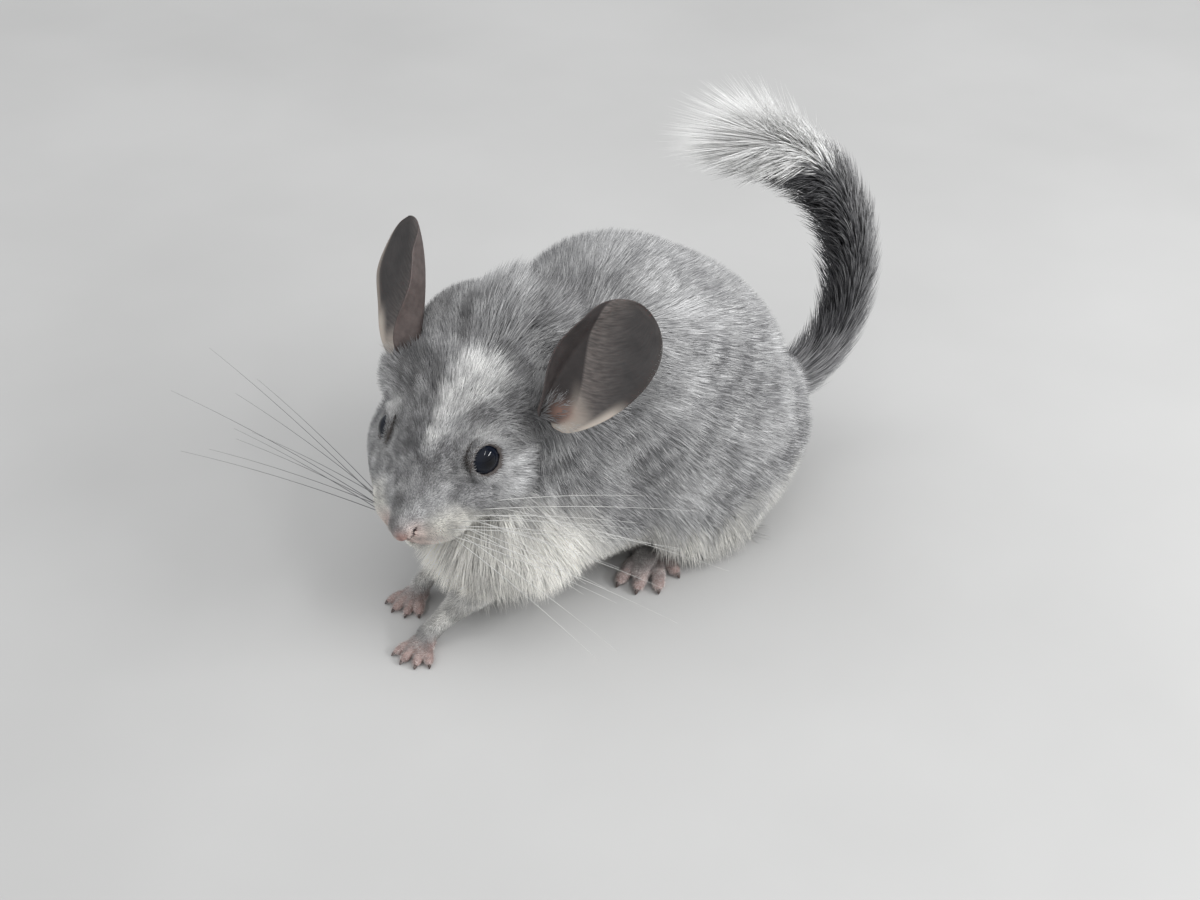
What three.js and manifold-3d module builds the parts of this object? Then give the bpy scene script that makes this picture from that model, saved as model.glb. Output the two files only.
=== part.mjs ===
// A young chinchilla, life size, in millimetres: a still model as a museum shows one.
// It crouches on all four feet with its head turned a little to its left and its tail curled
// up over its rump. +Z is up, the animal faces -Y, and +X is its left side.

import * as THREE from "three";
import { mergeVertices } from "three/addons/utils/BufferGeometryUtils.js";
import Module from "manifold-3d";

const wasm = await Module();
wasm.setup();

// Driving sizes
const seam = 0.3; // the thin gap between two pieces that meet
const headYaw = 21; // degrees to its left
const headPitch = 34; // degrees nose down
const headRoll = -4; // degrees, left side down
const eyesMiddle = new THREE.Vector3(-3, -71, 62); // halfway between the two eyeballs
const eyeRadius = 5.2;
const eyeOpening = 4.5; // radius of the gap between the lids
const lidThickness = 1.1;
const earLength = 43;
const earWidth = 34; // measured over the curve of the cup
const earThickness = 1.1;
const tailHairRadius = 12;
const finest = 0.05; // surface detail smaller than this is smoothed away

// Colours
const coatGrey = 0x8f9094;
const bellyCream = 0xcfcdc6;
const skinPink = 0xb89a92;
const earGrey = 0x5d5452;
const eyeBlack = 0x0b0b10;
const tailGrey = 0x5a5b60;
const tipWhite = 0xe6e6e2;

// Vectors and turns
const point = (x, y, z) => new THREE.Vector3(x, y, z);
const degrees = THREE.MathUtils.degToRad;
const mix = THREE.MathUtils.lerp;
const smooth = THREE.MathUtils.smoothstep;
const left = point(1, 0, 0);
const up = point(0, 0, 1);

// The head's own frame: its left, its front and its crown, measured from between the eyes.
const headTurn = new THREE.Matrix4()
  .makeRotationZ(degrees(headYaw))
  .multiply(new THREE.Matrix4().makeRotationX(degrees(headPitch)))
  .multiply(new THREE.Matrix4().makeRotationY(degrees(-headRoll)));
const headFrame = headTurn.clone().setPosition(eyesMiddle);
const onHead = (side, front, high) => point(side, -front, high).applyMatrix4(headFrame);
const alongHead = (side, front, high) => point(side, -front, high).applyMatrix4(headTurn).normalize();

// Solids
function solid(geometry) {
  const bare = geometry.clone();
  for (const name of Object.keys(bare.attributes)) {
    if (name !== "position") bare.deleteAttribute(name);
  }
  const merged = mergeVertices(bare, 1e-4);
  const kept = [];
  for (let i = 0; i < merged.index.count; i += 3) {
    const [a, b, c] = [0, 1, 2].map((k) => merged.index.getX(i + k));
    if (a !== b && b !== c && c !== a) kept.push(a, b, c);
  }
  const mesh = new wasm.Mesh({
    numProp: 3,
    vertProperties: new Float32Array(merged.attributes.position.array),
    triVerts: new Uint32Array(kept),
  });
  return new wasm.Manifold(mesh);
}

function largestBody(shape) {
  const bodies = shape.decompose();
  return bodies.reduce((best, body) => (body.volume() > best.volume() ? body : best));
}

function geometryOf(shape) {
  const { numProp, numVert, vertProperties, triVerts } = shape.getMesh();
  const corners = new Float32Array(numVert * 3);
  for (let i = 0; i < numVert; i++) {
    corners.set(vertProperties.subarray(i * numProp, i * numProp + 3), i * 3);
  }
  const geometry = new THREE.BufferGeometry();
  geometry.setAttribute("position", new THREE.BufferAttribute(corners, 3));
  geometry.setIndex(new THREE.BufferAttribute(new Uint32Array(triVerts), 1));
  geometry.computeVertexNormals();
  return geometry;
}

const joined = (shapes) => shapes.reduce((sum, shape) => sum.add(shape));

// A large block on the side of a plane that its normal points to.
function halfSpace(at, normal) {
  const size = 400;
  const block = new THREE.BoxGeometry(size, size, size).translate(0, 0, size / 2);
  const turn = new THREE.Quaternion().setFromUnitVectors(up, normal.clone().normalize());
  return solid(block.applyQuaternion(turn).translate(at.x, at.y, at.z));
}

const aboveFloor = halfSpace(point(0, 0, 0), up);

function ellipsoid(at, size, { turn = new THREE.Matrix4(), around = 16, rows = 11 } = {}) {
  const ball = new THREE.SphereGeometry(1, around, rows);
  ball.scale(...size).applyMatrix4(turn).translate(at.x, at.y, at.z);
  return solid(ball);
}

function faced(corners, faces) {
  const geometry = new THREE.BufferGeometry().setFromPoints(corners);
  geometry.setIndex(faces);
  const made = solid(geometry);
  if (made.volume() > 0) return made;
  for (let i = 0; i < faces.length; i += 3) [faces[i + 1], faces[i + 2]] = [faces[i + 2], faces[i + 1]];
  geometry.setIndex(faces);
  return solid(geometry);
}

// A closed body of rings between two poles
function closedRings(rings, firstPole, lastPole) {
  const corners = [firstPole, ...rings.flat(), lastPole];
  const sides = rings[0].length;
  const faces = [];
  const at = (ring, side) => 1 + ring * sides + (side % sides);
  for (let side = 0; side < sides; side++) {
    faces.push(0, at(0, side + 1), at(0, side));
    faces.push(corners.length - 1, at(rings.length - 1, side), at(rings.length - 1, side + 1));
    for (let ring = 0; ring + 1 < rings.length; ring++) {
      const [a, b] = [at(ring, side), at(ring, side + 1)];
      const [c, d] = [at(ring + 1, side), at(ring + 1, side + 1)];
      faces.push(a, b, d, a, d, c);
    }
  }
  return faced(corners, faces);
}

// A limb, lock or hair: ellipses with half sizes size(t) = [across, thick] along a curve.
function sweep({ curve, size, steps, sides, across = left, from = 0, to = 1, blunt = false }) {
  const rings = [];
  const [first, last] = blunt ? [0, steps] : [1, steps - 1];
  for (let step = first; step <= last; step++) {
    const t = mix(from, to, step / steps);
    const centre = curve.getPointAt(t);
    const ahead = curve.getTangentAt(t);
    const wide = across.clone().addScaledVector(ahead, -across.dot(ahead)).normalize();
    const thick = new THREE.Vector3().crossVectors(ahead, wide);
    const [halfWide, halfThick] = size(t);
    rings.push(Array.from({ length: sides }, (_, side) => {
      const angle = (side / sides) * 2 * Math.PI;
      return centre.clone()
        .addScaledVector(wide, halfWide * Math.cos(angle))
        .addScaledVector(thick, halfThick * Math.sin(angle));
    }));
  }
  return closedRings(rings, curve.getPointAt(from), curve.getPointAt(to));
}

// A thin sheet with the same triangles on both faces, from a grid of its middle surface.
function sheet(grid, thickness) {
  const [rows, columns] = [grid.length, grid[0].length];
  const within = (value, last) => Math.min(Math.max(value, 0), last);
  const place = (row, column) => grid[within(row, rows - 1)][within(column, columns - 1)];
  const corners = [];
  for (const face of [1, -1]) {
    for (let row = 0; row < rows; row++) {
      for (let column = 0; column < columns; column++) {
        const downward = point().subVectors(place(row + 1, column), place(row - 1, column));
        const across = point().subVectors(place(row, column + 1), place(row, column - 1));
        const out = point().crossVectors(across, downward).normalize();
        const half = thickness(row / (rows - 1), column / (columns - 1)) / 2;
        corners.push(place(row, column).clone().addScaledVector(out, face * half));
      }
    }
  }
  const front = (row, column) => row * columns + column;
  const back = (row, column) => rows * columns + front(row, column);
  const faces = [];
  for (let row = 0; row + 1 < rows; row++) {
    for (let column = 0; column + 1 < columns; column++) {
      const cell = [[row, column], [row, column + 1], [row + 1, column + 1], [row + 1, column]];
      const [a, b, c, d] = cell.map(([r, k]) => front(r, k));
      const [e, f, g, h] = cell.map(([r, k]) => back(r, k));
      faces.push(a, b, c, a, c, d, e, g, f, e, h, g);
    }
  }
  const edge = [];
  for (let column = 0; column + 1 < columns; column++) edge.push([0, column]);
  for (let row = 0; row + 1 < rows; row++) edge.push([row, columns - 1]);
  for (let column = columns - 1; column > 0; column--) edge.push([rows - 1, column]);
  for (let row = rows - 1; row > 0; row--) edge.push([row, 0]);
  edge.forEach((here, i) => {
    const next = edge[(i + 1) % edge.length];
    const [a, b, c, d] = [front(...here), front(...next), back(...next), back(...here)];
    faces.push(a, c, b, a, d, c);
  });
  return faced(corners, faces);
}

// Soft forms: a field is the rough distance to a smooth union of ellipsoids, below zero inside.
function ellipsoidField({ at, size, turn }) {
  const back = turn ? turn.clone().invert() : new THREE.Matrix4();
  const local = new THREE.Vector3();
  return (place) => {
    local.subVectors(place, at).applyMatrix4(back);
    const near = Math.hypot(local.x / size[0], local.y / size[1], local.z / size[2]);
    const slope = Math.hypot(local.x / size[0] ** 2, local.y / size[1] ** 2, local.z / size[2] ** 2);
    return slope < 1e-9 ? -Math.min(...size) : (near * (near - 1)) / slope;
  };
}

function softUnion(balls, softness) {
  const fields = balls.map(ellipsoidField);
  return (place) => {
    let sum = 0;
    for (const field of fields) sum += Math.exp(-field(place) / softness);
    return -softness * Math.log(sum);
  };
}

// Where a ray from inside a field leaves it
function surfaceOn(field, from, way, grow = 0) {
  const step = 1;
  const furthest = 200;
  let far = step;
  const probe = new THREE.Vector3();
  const outside = (distance) => field(probe.copy(from).addScaledVector(way, distance)) > grow;
  while (!outside(far) && far < furthest) far += step;
  let near = far - step;
  for (let i = 0; i < 12; i++) {
    const middle = (near + far) / 2;
    if (outside(middle)) far = middle;
    else near = middle;
  }
  return from.clone().addScaledVector(way, far);
}

// A closed skin round a spine: rays leave the spine at right angles and fan out at its two
// ends, and each stops where the field turns positive. It lies outside the field by grow.
function wrap(field, { spine, along, around, fan, across = left }, grow = 0) {
  const reach = (from, way) => surfaceOn(field, from, way, grow);
  const ring = (t, tilt) => {
    const from = spine.getPoint(t);
    const ahead = spine.getTangent(t);
    const wide = across.clone().addScaledVector(ahead, -across.dot(ahead)).normalize();
    const high = new THREE.Vector3().crossVectors(ahead, wide);
    return Array.from({ length: around }, (_, side) => {
      const angle = (side / around) * 2 * Math.PI;
      const out = wide.clone().multiplyScalar(Math.cos(angle)).addScaledVector(high, Math.sin(angle));
      return reach(from, out.multiplyScalar(Math.cos(tilt)).addScaledVector(ahead, Math.sin(tilt)));
    });
  };
  const rings = [];
  for (let i = 1; i < fan; i++) rings.push(ring(0, (i / fan - 1) * (Math.PI / 2)));
  for (let i = 0; i <= along; i++) rings.push(ring(i / along, 0));
  for (let i = 1; i < fan; i++) rings.push(ring(1, (i / fan) * (Math.PI / 2)));
  const first = reach(spine.getPoint(0), spine.getTangent(0).negate());
  const last = reach(spine.getPoint(1), spine.getTangent(1));
  return closedRings(rings, first, last);
}

const path = (...points) => new THREE.CatmullRomCurve3(points);

// Nodes
const animal = new THREE.Group();
function addNode(name, shape, color, { roughness = 0.95, detail = finest } = {}) {
  const material = new THREE.MeshStandardMaterial({ color, roughness, metalness: 0 });
  const mesh = new THREE.Mesh(geometryOf(largestBody(shape).simplify(detail)), material);
  mesh.name = name;
  animal.add(mesh);
}

const bothSides = [["left", 1], ["right", -1]];

// Trunk
const haunch = (side) => ({ at: point(side * 29, 12, 27), size: [14, 30, 23] });
const trunkBalls = [
  { at: point(0, 19, 48), size: [39, 36, 37] }, // rump
  { at: point(0, 38, 28), size: [35, 30, 27] }, // seat
  { at: point(-1, -5, 58), size: [41, 38, 46.5] }, // barrel
  { at: point(-1, 10, 53), size: [36, 36, 39] }, // loin
  { at: point(-7, -34, 62), size: [33, 23, 36] }, // shoulders
  { at: point(0, -24, 33), size: [33, 36, 25] }, // belly
  { at: point(3, -55, 29), size: [24, 23, 22] }, // chest
  { at: point(2, -56, 42), size: [17, 15, 15] }, // throat
  haunch(1),
  haunch(-1),
  { at: point(3, 62, 27), size: [11, 14, 12] }, // tail root
];
const trunkField = softUnion(trunkBalls, 5);
const trunkMesh = {
  spine: path(point(0, 42, 36), point(0, 0, 46), point(0, -36, 46)), along: 13, around: 26, fan: 6,
};
const trunk = wrap(trunkField, trunkMesh).intersect(aboveFloor);
const trunkRoom = wrap(trunkField, trunkMesh, seam);

// Head and neck
const headBall = (side, front, high, size) => ({ at: onHead(side, front, high), size, turn: headTurn });
const headBalls = [
  headBall(0, -18, -1, [28, 18, 16]), // cranium
  headBall(0, -3, 0, [15, 16, 12]), // brow
  headBall(0, 10, -4, [8.4, 17, 8.5]), // bridge and muzzle
  headBall(15, -4, -12, [13, 17, 12.5]), // left cheek
  headBall(-15, -4, -12, [13, 17, 12.5]), // right cheek
  headBall(0, 8, -14, [9, 17, 7]), // jaw
  headBall(5, 17, -9, [6, 8.5, 7.2]), // left whisker pad
  headBall(-5, 17, -9, [6, 8.5, 7.2]), // right whisker pad
  headBall(0, 26.5, -3.5, [3.4, 3.8, 3.4]), // nose
  headBall(0, 21.5, -16.5, [5, 6.2, 4.6]), // chin
  headBall(0, -36, -8, [25, 20, 22]), // neck
  headBall(27, -21, 2, [10, 10, 8]), // left ear's root
  headBall(-20, -27, 1, [10, 10, 8]), // right ear's root
];
const headField = softUnion(headBalls, 2.2);
const headMesh = {
  spine: path(onHead(0, -36, -6), onHead(0, -18, -4), onHead(0, 0, -5), onHead(0, 17, -9)),
  along: 16, around: 28, fan: 5, across: alongHead(1, 0, 0),
};
const headWhole = wrap(headField, headMesh);
const headRoom = wrap(headField, headMesh, seam);

const neckAt = onHead(0, -34, 0);
const neckWay = alongHead(0, 1, 0);
const neckGap = neckWay.clone().multiplyScalar(seam / 2);
const neck = headWhole.subtract(halfSpace(neckAt.clone().sub(neckGap), neckWay));

// Eyes and lids
const eyeAt = (side) => onHead(side * 14.2, 0, 0.2);
const eyeWay = (side) => alongHead(side * 0.85, 0.3, 0.43);
const lidOut = Math.sqrt(eyeRadius ** 2 - eyeOpening ** 2);
function lidRing(side) {
  const ring = new THREE.TorusGeometry(eyeOpening + lidThickness * 0.4, lidThickness, 6, 16);
  const turn = new THREE.Quaternion().setFromUnitVectors(up, eyeWay(side));
  const at = eyeAt(side).addScaledVector(eyeWay(side), lidOut);
  return solid(ring.applyQuaternion(turn).translate(at.x, at.y, at.z));
}
const eyeRoom = (side) => ellipsoid(eyeAt(side), Array(3).fill(eyeRadius + seam), { around: 14, rows: 9 });

// Nostrils, the cleft of the upper lip and the line of the mouth
const onMuzzle = (side, front, high) => {
  const from = onHead(0, 14, -9);
  return surfaceOn(headField, from, onHead(side, front, high).sub(from).normalize());
};
function groove(width, ...places) {
  const curve = path(...places.map((place) => onMuzzle(...place)));
  return sweep({ curve, size: () => [width / 2, width / 2], steps: 6, sides: 6, blunt: true });
}
const nostril = (side) => groove(1.2, [side * 1, 30, -5.4], [side * 2.4, 29, -4.4], [side * 3.2, 27, -2.6]);
const cleft = groove(0.9, [0, 30, -6], [0, 28.5, -9.5], [0, 27, -13]);
const mouthSide = (side) => groove(1, [0, 27, -13.6], [side * 4, 24, -14.6], [side * 8, 16, -15.5]);

// Whisker pads: the sides of the upper lip, each with its fan of whiskers
const padAt = (side) => onHead(side * 9.2, 17.5, -9);
const padSize = [5, 6, 5];
const padPiece = (side, grow) => ellipsoid(
  padAt(side), padSize.map((half) => half + grow), { turn: headTurn, around: 12, rows: 7 },
);
const whiskerRows = [{ rise: 0.16, forward: 0 }, { rise: 0.02, forward: 0.12 }, { rise: -0.1, forward: 0.26 }];
const whiskerColumns = [-0.1, 0.08, 0.26]; // how far each points back
const sweptBack = { [1]: 0.05, [-1]: 0.35 };
function whiskers(side) {
  return whiskerRows.flatMap(({ rise, forward }, row) => whiskerColumns.map((back, column) => {
    const root = onHead(side * (9.2 - row * 0.4), 20 - column * 2.2, -6.4 - row * 2.2);
    const length = 46 + column * 12 - row * 5;
    const start = alongHead(side, 0.46 - back * 0.4 + forward, rise + 0.18);
    const end = alongHead(side, forward - back - sweptBack[side], rise);
    const curve = path(
      root, root.clone().addScaledVector(start, length * 0.3),
      root.clone().addScaledVector(start, length * 0.3).addScaledVector(end, length * 0.35),
      root.clone().addScaledVector(start, length * 0.25).addScaledVector(end, length * 0.75),
    );
    const size = (t) => Array(2).fill(mix(0.42, 0.18, t));
    return sweep({ curve, size, steps: 4, sides: 3, across: alongHead(0, 0, 1), blunt: true });
  }));
}

let head = headWhole.intersect(halfSpace(neckAt.clone().add(neckGap), neckWay));
head = joined([head, lidRing(1), lidRing(-1)]).subtract(eyeRoom(1)).subtract(eyeRoom(-1));
for (const [, side] of bothSides) {
  head = head.subtract(nostril(side)).subtract(mouthSide(side)).subtract(padPiece(side, seam));
}
head = head.subtract(cleft);

// Haunches: the thighs under the flanks
const haunchPiece = (side, grow) => {
  const { at, size } = haunch(side);
  const half = size.map((length) => length * 1.08 + grow);
  return ellipsoid(at.clone().add(point(side * 7, 0, 0)), half, { around: 18, rows: 10 });
};
let torso = trunk.subtract(headRoom);
for (const [name, side] of bothSides) {
  torso = torso.subtract(haunchPiece(side, seam));
  addNode(`haunch_${name}`, trunk.intersect(haunchPiece(side, 0)), coatGrey);
}

addNode("torso", torso, coatGrey);
addNode("neck", neck, coatGrey);
addNode("head", head, coatGrey);
for (const [name, side] of bothSides) {
  const ball = ellipsoid(eyeAt(side), Array(3).fill(eyeRadius), { around: 14, rows: 9 });
  addNode(`eye_${name}`, ball, eyeBlack, { roughness: 0.08 });
  const pad = joined([headWhole.intersect(padPiece(side, 0)), ...whiskers(side)]);
  addNode(`whisker_pad_${name}`, pad, coatGrey);
}

// Ears: a cup whose front edge folds forward, closing to a tube at the root. The left one is
// turned further out than the right.
const ears = {
  [1]: { root: [31.5, -21, 7], along: [0.48, -0.78, 0.36], faces: [0.36, 0.35, 0.86] },
  [-1]: { root: [-20.5, -27, 4], along: [-0.38, -0.86, 0.25], faces: [-0.62, 0.3, 0.72] },
};
function earCup(side) {
  const { root, along, faces } = ears[side];
  const base = onHead(...root);
  const axis = alongHead(...along);
  const facing = alongHead(...faces);
  facing.addScaledVector(axis, -facing.dot(axis)).normalize();
  const outward = new THREE.Vector3().crossVectors(axis, facing).multiplyScalar(side);
  const [rows, columns] = [10, 10];
  const widest = 0.58;
  const grid = [];
  for (let row = 0; row <= rows; row++) {
    const t = Math.sin((row / rows) * Math.PI * 0.5 * 0.9);
    const below = mix(0.5, 1, Math.sin(Math.min(t / widest, 1) * Math.PI / 2));
    const above = Math.sqrt(Math.max(1 - (Math.max(t - widest, 0) / (1 - widest)) ** 2, 0));
    const halfWidth = (earWidth / 2) * below * above;
    const closing = 1 - smooth(t, 0, 0.5);
    const opening = mix(1, 0.3, smooth(t, 0.65, 1));
    const crease = mix(0.12, 0.45, t);
    const line = [];
    let [aside, ahead] = [0, 0];
    const places = [];
    for (let column = 0; column <= columns; column++) {
      const s = (column / columns) * 2 - 1;
      places.push([aside, ahead]);
      const fold = -58 * smooth(-s, crease, crease + 0.25) + 30 * smooth(s, -0.1, 1);
      const turn = degrees(fold * (1 + 0.7 * closing) * opening);
      const step = (2 / columns) * (s < 0 ? mix(1.05, 0.75, t) : 0.95);
      aside += Math.cos(turn) * step;
      ahead += Math.sin(turn) * step;
    }
    const [middleAside, middleAhead] = places[columns / 2];
    for (const [a, b] of places) {
      line.push(base.clone()
        .addScaledVector(axis, t * earLength - 6)
        .addScaledVector(outward, (a - middleAside) * halfWidth)
        .addScaledVector(facing, (b - middleAhead) * halfWidth - 3 * t * (1 - t) * 2));
    }
    grid.push(line);
  }
  return sheet(grid, (t, s) => earThickness * mix(1, 0.6, Math.abs(s * 2 - 1) ** 3));
}
for (const [name, side] of bothSides) {
  addNode(`ear_${name}`, earCup(side).subtract(headRoom).subtract(trunkRoom), earGrey, { roughness: 0.8 });
}

// Tail: a slim core and rings of long flat locks that lie back along it and fan out at its tip.
// The locks of one length lie over the start of the next, so each length is cut clear of the
// one before it.
const tailCurve = path(
  point(3, 60, 28), point(3, 76, 26), point(3, 90, 31), point(3, 99, 43), point(3, 101, 60), point(3, 96, 80),
  point(3, 83, 100), point(3, 67, 114), point(3, 48, 124), point(3, 16, 134),
);
const tailLength = tailCurve.getLength();
const tailCoreEnd = 0.78;
const tailCoreRadius = (t) => mix(5.6, 3.4, Math.min(t / tailCoreEnd, 1));
const tailParts = [
  ["tail_root", 0, 0.36, tailGrey], ["tail_middle", 0.36, 0.66, tailGrey], ["tail_tip", 0.66, 1, tipWhite],
];
const lockRings = 11;
const locksInRing = 6;
const tipLocks = 16;
const lockThickness = 2.2;
const underside = 1.3; // the hair on the inside of the curl is this much longer
const tailHairReach = (t) => {
  const flare = mix(0.8, 1, smooth(t, 0, 0.4)) + 0.4 * smooth(t, 0.7, 0.9);
  return tailHairRadius * flare * Math.sqrt(1 - 0.75 * Math.max((t - 0.86) / 0.14, 0) ** 2);
};

function seeded(seed) {
  let state = seed;
  return () => {
    state = (state * 1664525 + 1013904223) % 2 ** 32;
    return state / 2 ** 32;
  };
}

// One flat lock: its root is sunk in the core at t, it leaves the tail's middle line at an angle
// round it, and its tip stands at a share of the hair's reach.
function tailLock({ t, angle, length, share, width }, grow) {
  const long = length + grow;
  const radialAt = (at) => {
    const high = new THREE.Vector3().crossVectors(tailCurve.getTangentAt(at), left);
    return left.clone().multiplyScalar(Math.cos(angle)).addScaledVector(high, Math.sin(angle));
  };
  const place = (ahead, out) => {
    const at = Math.min(t + (ahead * long) / tailLength, 1);
    return tailCurve.getPointAt(at).addScaledVector(radialAt(at), out);
  };
  const longer = mix(1, underside, smooth(-Math.sin(angle), 0, 1));
  const tipReach = tailHairReach(Math.min(t + length / tailLength, 1)) * share * longer;
  const root = tailCoreRadius(t) * 0.45;
  const curve = path(
    place(0, root), place(0.3, mix(root, tipReach, 0.5)),
    place(0.65, mix(root, tipReach, 0.85)), place(1, tipReach),
  );
  const across = new THREE.Vector3().crossVectors(tailCurve.getTangentAt(t), radialAt(t));
  const size = (s) => {
    const taper = s < 0.4 ? mix(0.75, 1, s / 0.4) : mix(1, 0.3, (s - 0.4) / 0.6);
    return [(width / 2) * taper + grow, lockThickness * mix(0.6, 0.3, s) + grow];
  };
  return sweep({ curve, size, steps: 4, sides: 4, across });
}

const random = seeded(7);
const around = (i, count, jitter) => ((i + jitter * (random() - 0.5)) / count) * 2 * Math.PI;
const tailLocks = [];
for (let ring = 0; ring < lockRings; ring++) {
  for (let i = 0; i < locksInRing; i++) {
    tailLocks.push({
      t: mix(0.04, tailCoreEnd - 0.04, ring / (lockRings - 1)) + 0.02 * (random() - 0.5),
      angle: around(i + (ring % 2) / 2, locksInRing, 0.35),
      length: mix(24, 34, smooth(ring / lockRings, 0.6, 1)) * mix(0.88, 1.12, random()),
      share: mix(0.9, 1.06, random()),
      width: mix(8.5, 10.5, random()),
    });
  }
}
for (let i = 0; i < tipLocks; i++) {
  tailLocks.push({
    t: tailCoreEnd - mix(0.01, 0.08, random()),
    angle: around(i * 5, tipLocks, 0.8),
    length: mix(34, 46, random()),
    share: mix(0.15, 0.95, (i + random()) / tipLocks),
    width: mix(7, 9, random()),
  });
}
function tailPiece(from, to, grow) {
  const core = sweep({
    curve: tailCurve, size: (t) => Array(2).fill(tailCoreRadius(t) + grow), steps: 6, sides: 10, blunt: true,
    from, to: Math.min(to, tailCoreEnd) + grow / tailLength,
  });
  const locks = tailLocks.filter(({ t }) => t >= from && t < to).map((lock) => tailLock(lock, grow));
  return wasm.Manifold.union([core, ...locks]);
}
let taken = trunkRoom;
for (const [name, from, to, color] of tailParts) {
  addNode(name, tailPiece(from, to, 0).subtract(taken), color, { detail: 2 * finest });
  taken = taken.add(tailPiece(from, to, seam));
}

// Legs and paws
const legSize = (wide, narrow) => (t) => Array(2).fill(mix(wide, narrow, smooth(t, 0, 0.9)));
const forelegPath = {
  [1]: path(point(14, -58, 30), point(12, -70, 17), point(9, -80, 9), point(7.6, -87, 4.5)),
  [-1]: path(point(-8, -48, 30), point(-10, -60, 17), point(-12, -69, 9), point(-12.5, -75, 4.5)),
};
const foreleg = (side, grow) => sweep({
  curve: forelegPath[side], size: legSize(8.5 + grow, 3.7 + grow), steps: 8, sides: 12, blunt: true,
});

// Toes fan out from the front of a flat sole, each with a knuckle and a small nail.
function paw({ at, heading, sole, toes, toeRadius }) {
  const turn = new THREE.Matrix4().makeRotationZ(degrees(heading));
  const frame = turn.clone().setPosition(at);
  const [halfWide, halfLong, high] = sole;
  const middle = point(0, 0, high * 0.42).applyMatrix4(frame);
  const pieces = [ellipsoid(middle, [halfWide, halfLong, high * 0.58], { turn, around: 12, rows: 6 })];
  for (const { side, back = halfLong * 0.55, spread, length } of toes) {
    const way = point(Math.sin(degrees(spread)), -Math.cos(degrees(spread)), 0);
    const at = (far, z) => point(side, back - halfLong, z).addScaledVector(way, far).applyMatrix4(frame);
    const across = point(-way.y, way.x, 0).applyMatrix4(turn);
    const toe = path(
      at(0, high * 0.4), at(length * 0.5, toeRadius * 1.3), at(length, toeRadius * 0.8),
      at(length + toeRadius * 0.9, toeRadius * 0.75), at(length + toeRadius * 1.9, toeRadius * 0.25),
    );
    const size = (t) => Array(2).fill(toeRadius * mix(1, 0.15, smooth(t, 0.5, 0.95)));
    pieces.push(sweep({ curve: toe, size, steps: 5, sides: 5, across, blunt: true }));
  }
  return joined(pieces).intersect(aboveFloor);
}

const foreToes = [-34, -11, 11, 32].map((spread) => (
  { side: spread * 0.085, spread, length: 6.4 - Math.abs(spread) / 17 }
));
const forepawAt = (at, heading) => ({ at, heading, sole: [3.9, 4.2, 4.8], toes: foreToes, toeRadius: 1.4 });
const forepaws = { [1]: forepawAt(point(7.6, -88.5, 0), 24), [-1]: forepawAt(point(-12.5, -76.5, 0), 18) };
const hindToes = (side) => [
  { side: side * -3.2, spread: side * -9, length: 10 }, { side: side * 0.6, spread: side * 4, length: 11 },
  { side: side * 4, spread: side * 20, length: 9 }, { side: side * 4, back: 14, spread: side * 48, length: 7 },
];
const hindPaw = (side) => ({
  at: point(side * 20, -5.5, 0), heading: side * 28, sole: [5.4, 16, 6.4], toes: hindToes(side), toeRadius: 1.9,
});

const bareRoughness = 0.7;
for (const [name, side] of bothSides) {
  const upper = foreleg(side, 0).subtract(trunkRoom).intersect(aboveFloor);
  addNode(`foreleg_${name}`, upper, bellyCream);
  const forepaw = paw(forepaws[side]).subtract(foreleg(side, seam)).subtract(trunkRoom);
  addNode(`forepaw_${name}`, forepaw, skinPink, { roughness: bareRoughness });
  addNode(`hind_foot_${name}`, paw(hindPaw(side)).subtract(trunkRoom), skinPink, { roughness: bareRoughness });
}

// The origin stands under the middle of the whole animal, on the floor.
const bounds = new THREE.Box3().setFromObject(animal);
const middle = bounds.getCenter(point());
animal.position.set(-middle.x, -middle.y, -bounds.min.z);

export default animal;
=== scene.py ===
"""Looks for the life-size young chinchilla: one skin, a coat of mesh hairs, ears, eyes and tail.

Lengths are in millimetres and in the animal's own frame until a mesh is written: +X is its left,
-Y is forward, +Z is up and the floor is z = 0.
"""
import math

import bmesh
import bpy
import numpy as np
from mathutils import Matrix, Vector
from mathutils.kdtree import KDTree


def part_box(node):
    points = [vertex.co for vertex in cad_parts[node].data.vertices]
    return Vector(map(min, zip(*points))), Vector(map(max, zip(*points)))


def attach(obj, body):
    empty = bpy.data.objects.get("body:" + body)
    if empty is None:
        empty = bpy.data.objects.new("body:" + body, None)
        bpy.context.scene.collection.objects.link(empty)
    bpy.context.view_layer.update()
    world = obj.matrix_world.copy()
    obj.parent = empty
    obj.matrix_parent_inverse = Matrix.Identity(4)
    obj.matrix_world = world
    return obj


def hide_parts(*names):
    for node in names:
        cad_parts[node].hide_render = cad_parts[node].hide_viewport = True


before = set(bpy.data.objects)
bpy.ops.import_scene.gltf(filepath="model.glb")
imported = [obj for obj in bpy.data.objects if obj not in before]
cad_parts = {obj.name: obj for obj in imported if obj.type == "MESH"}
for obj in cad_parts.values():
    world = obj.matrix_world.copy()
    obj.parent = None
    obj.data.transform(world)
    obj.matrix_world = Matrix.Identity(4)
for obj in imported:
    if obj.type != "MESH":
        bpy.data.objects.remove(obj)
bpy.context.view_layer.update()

# Driving sizes
HEAD_YAW, HEAD_PITCH, HEAD_ROLL = 21, 34, -4
EYES_MIDDLE = np.array([-3.0, -71.0, 62.0])
EYE_SIDE, EYE_HIGH = 14.2, 0.2
EYE_RADIUS, EYE_OPENING, LID_THICKNESS = 5.2, 4.6, 1.0
EAR_LENGTH, EAR_WIDTH, EAR_THICKNESS = 43, 34, 0.9
TAIL_REACH = 12  # how far the tail's coat stands out from its middle
TAIL_CORE_END = 0.78  # where the core ends, as a share of the tail's length
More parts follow.
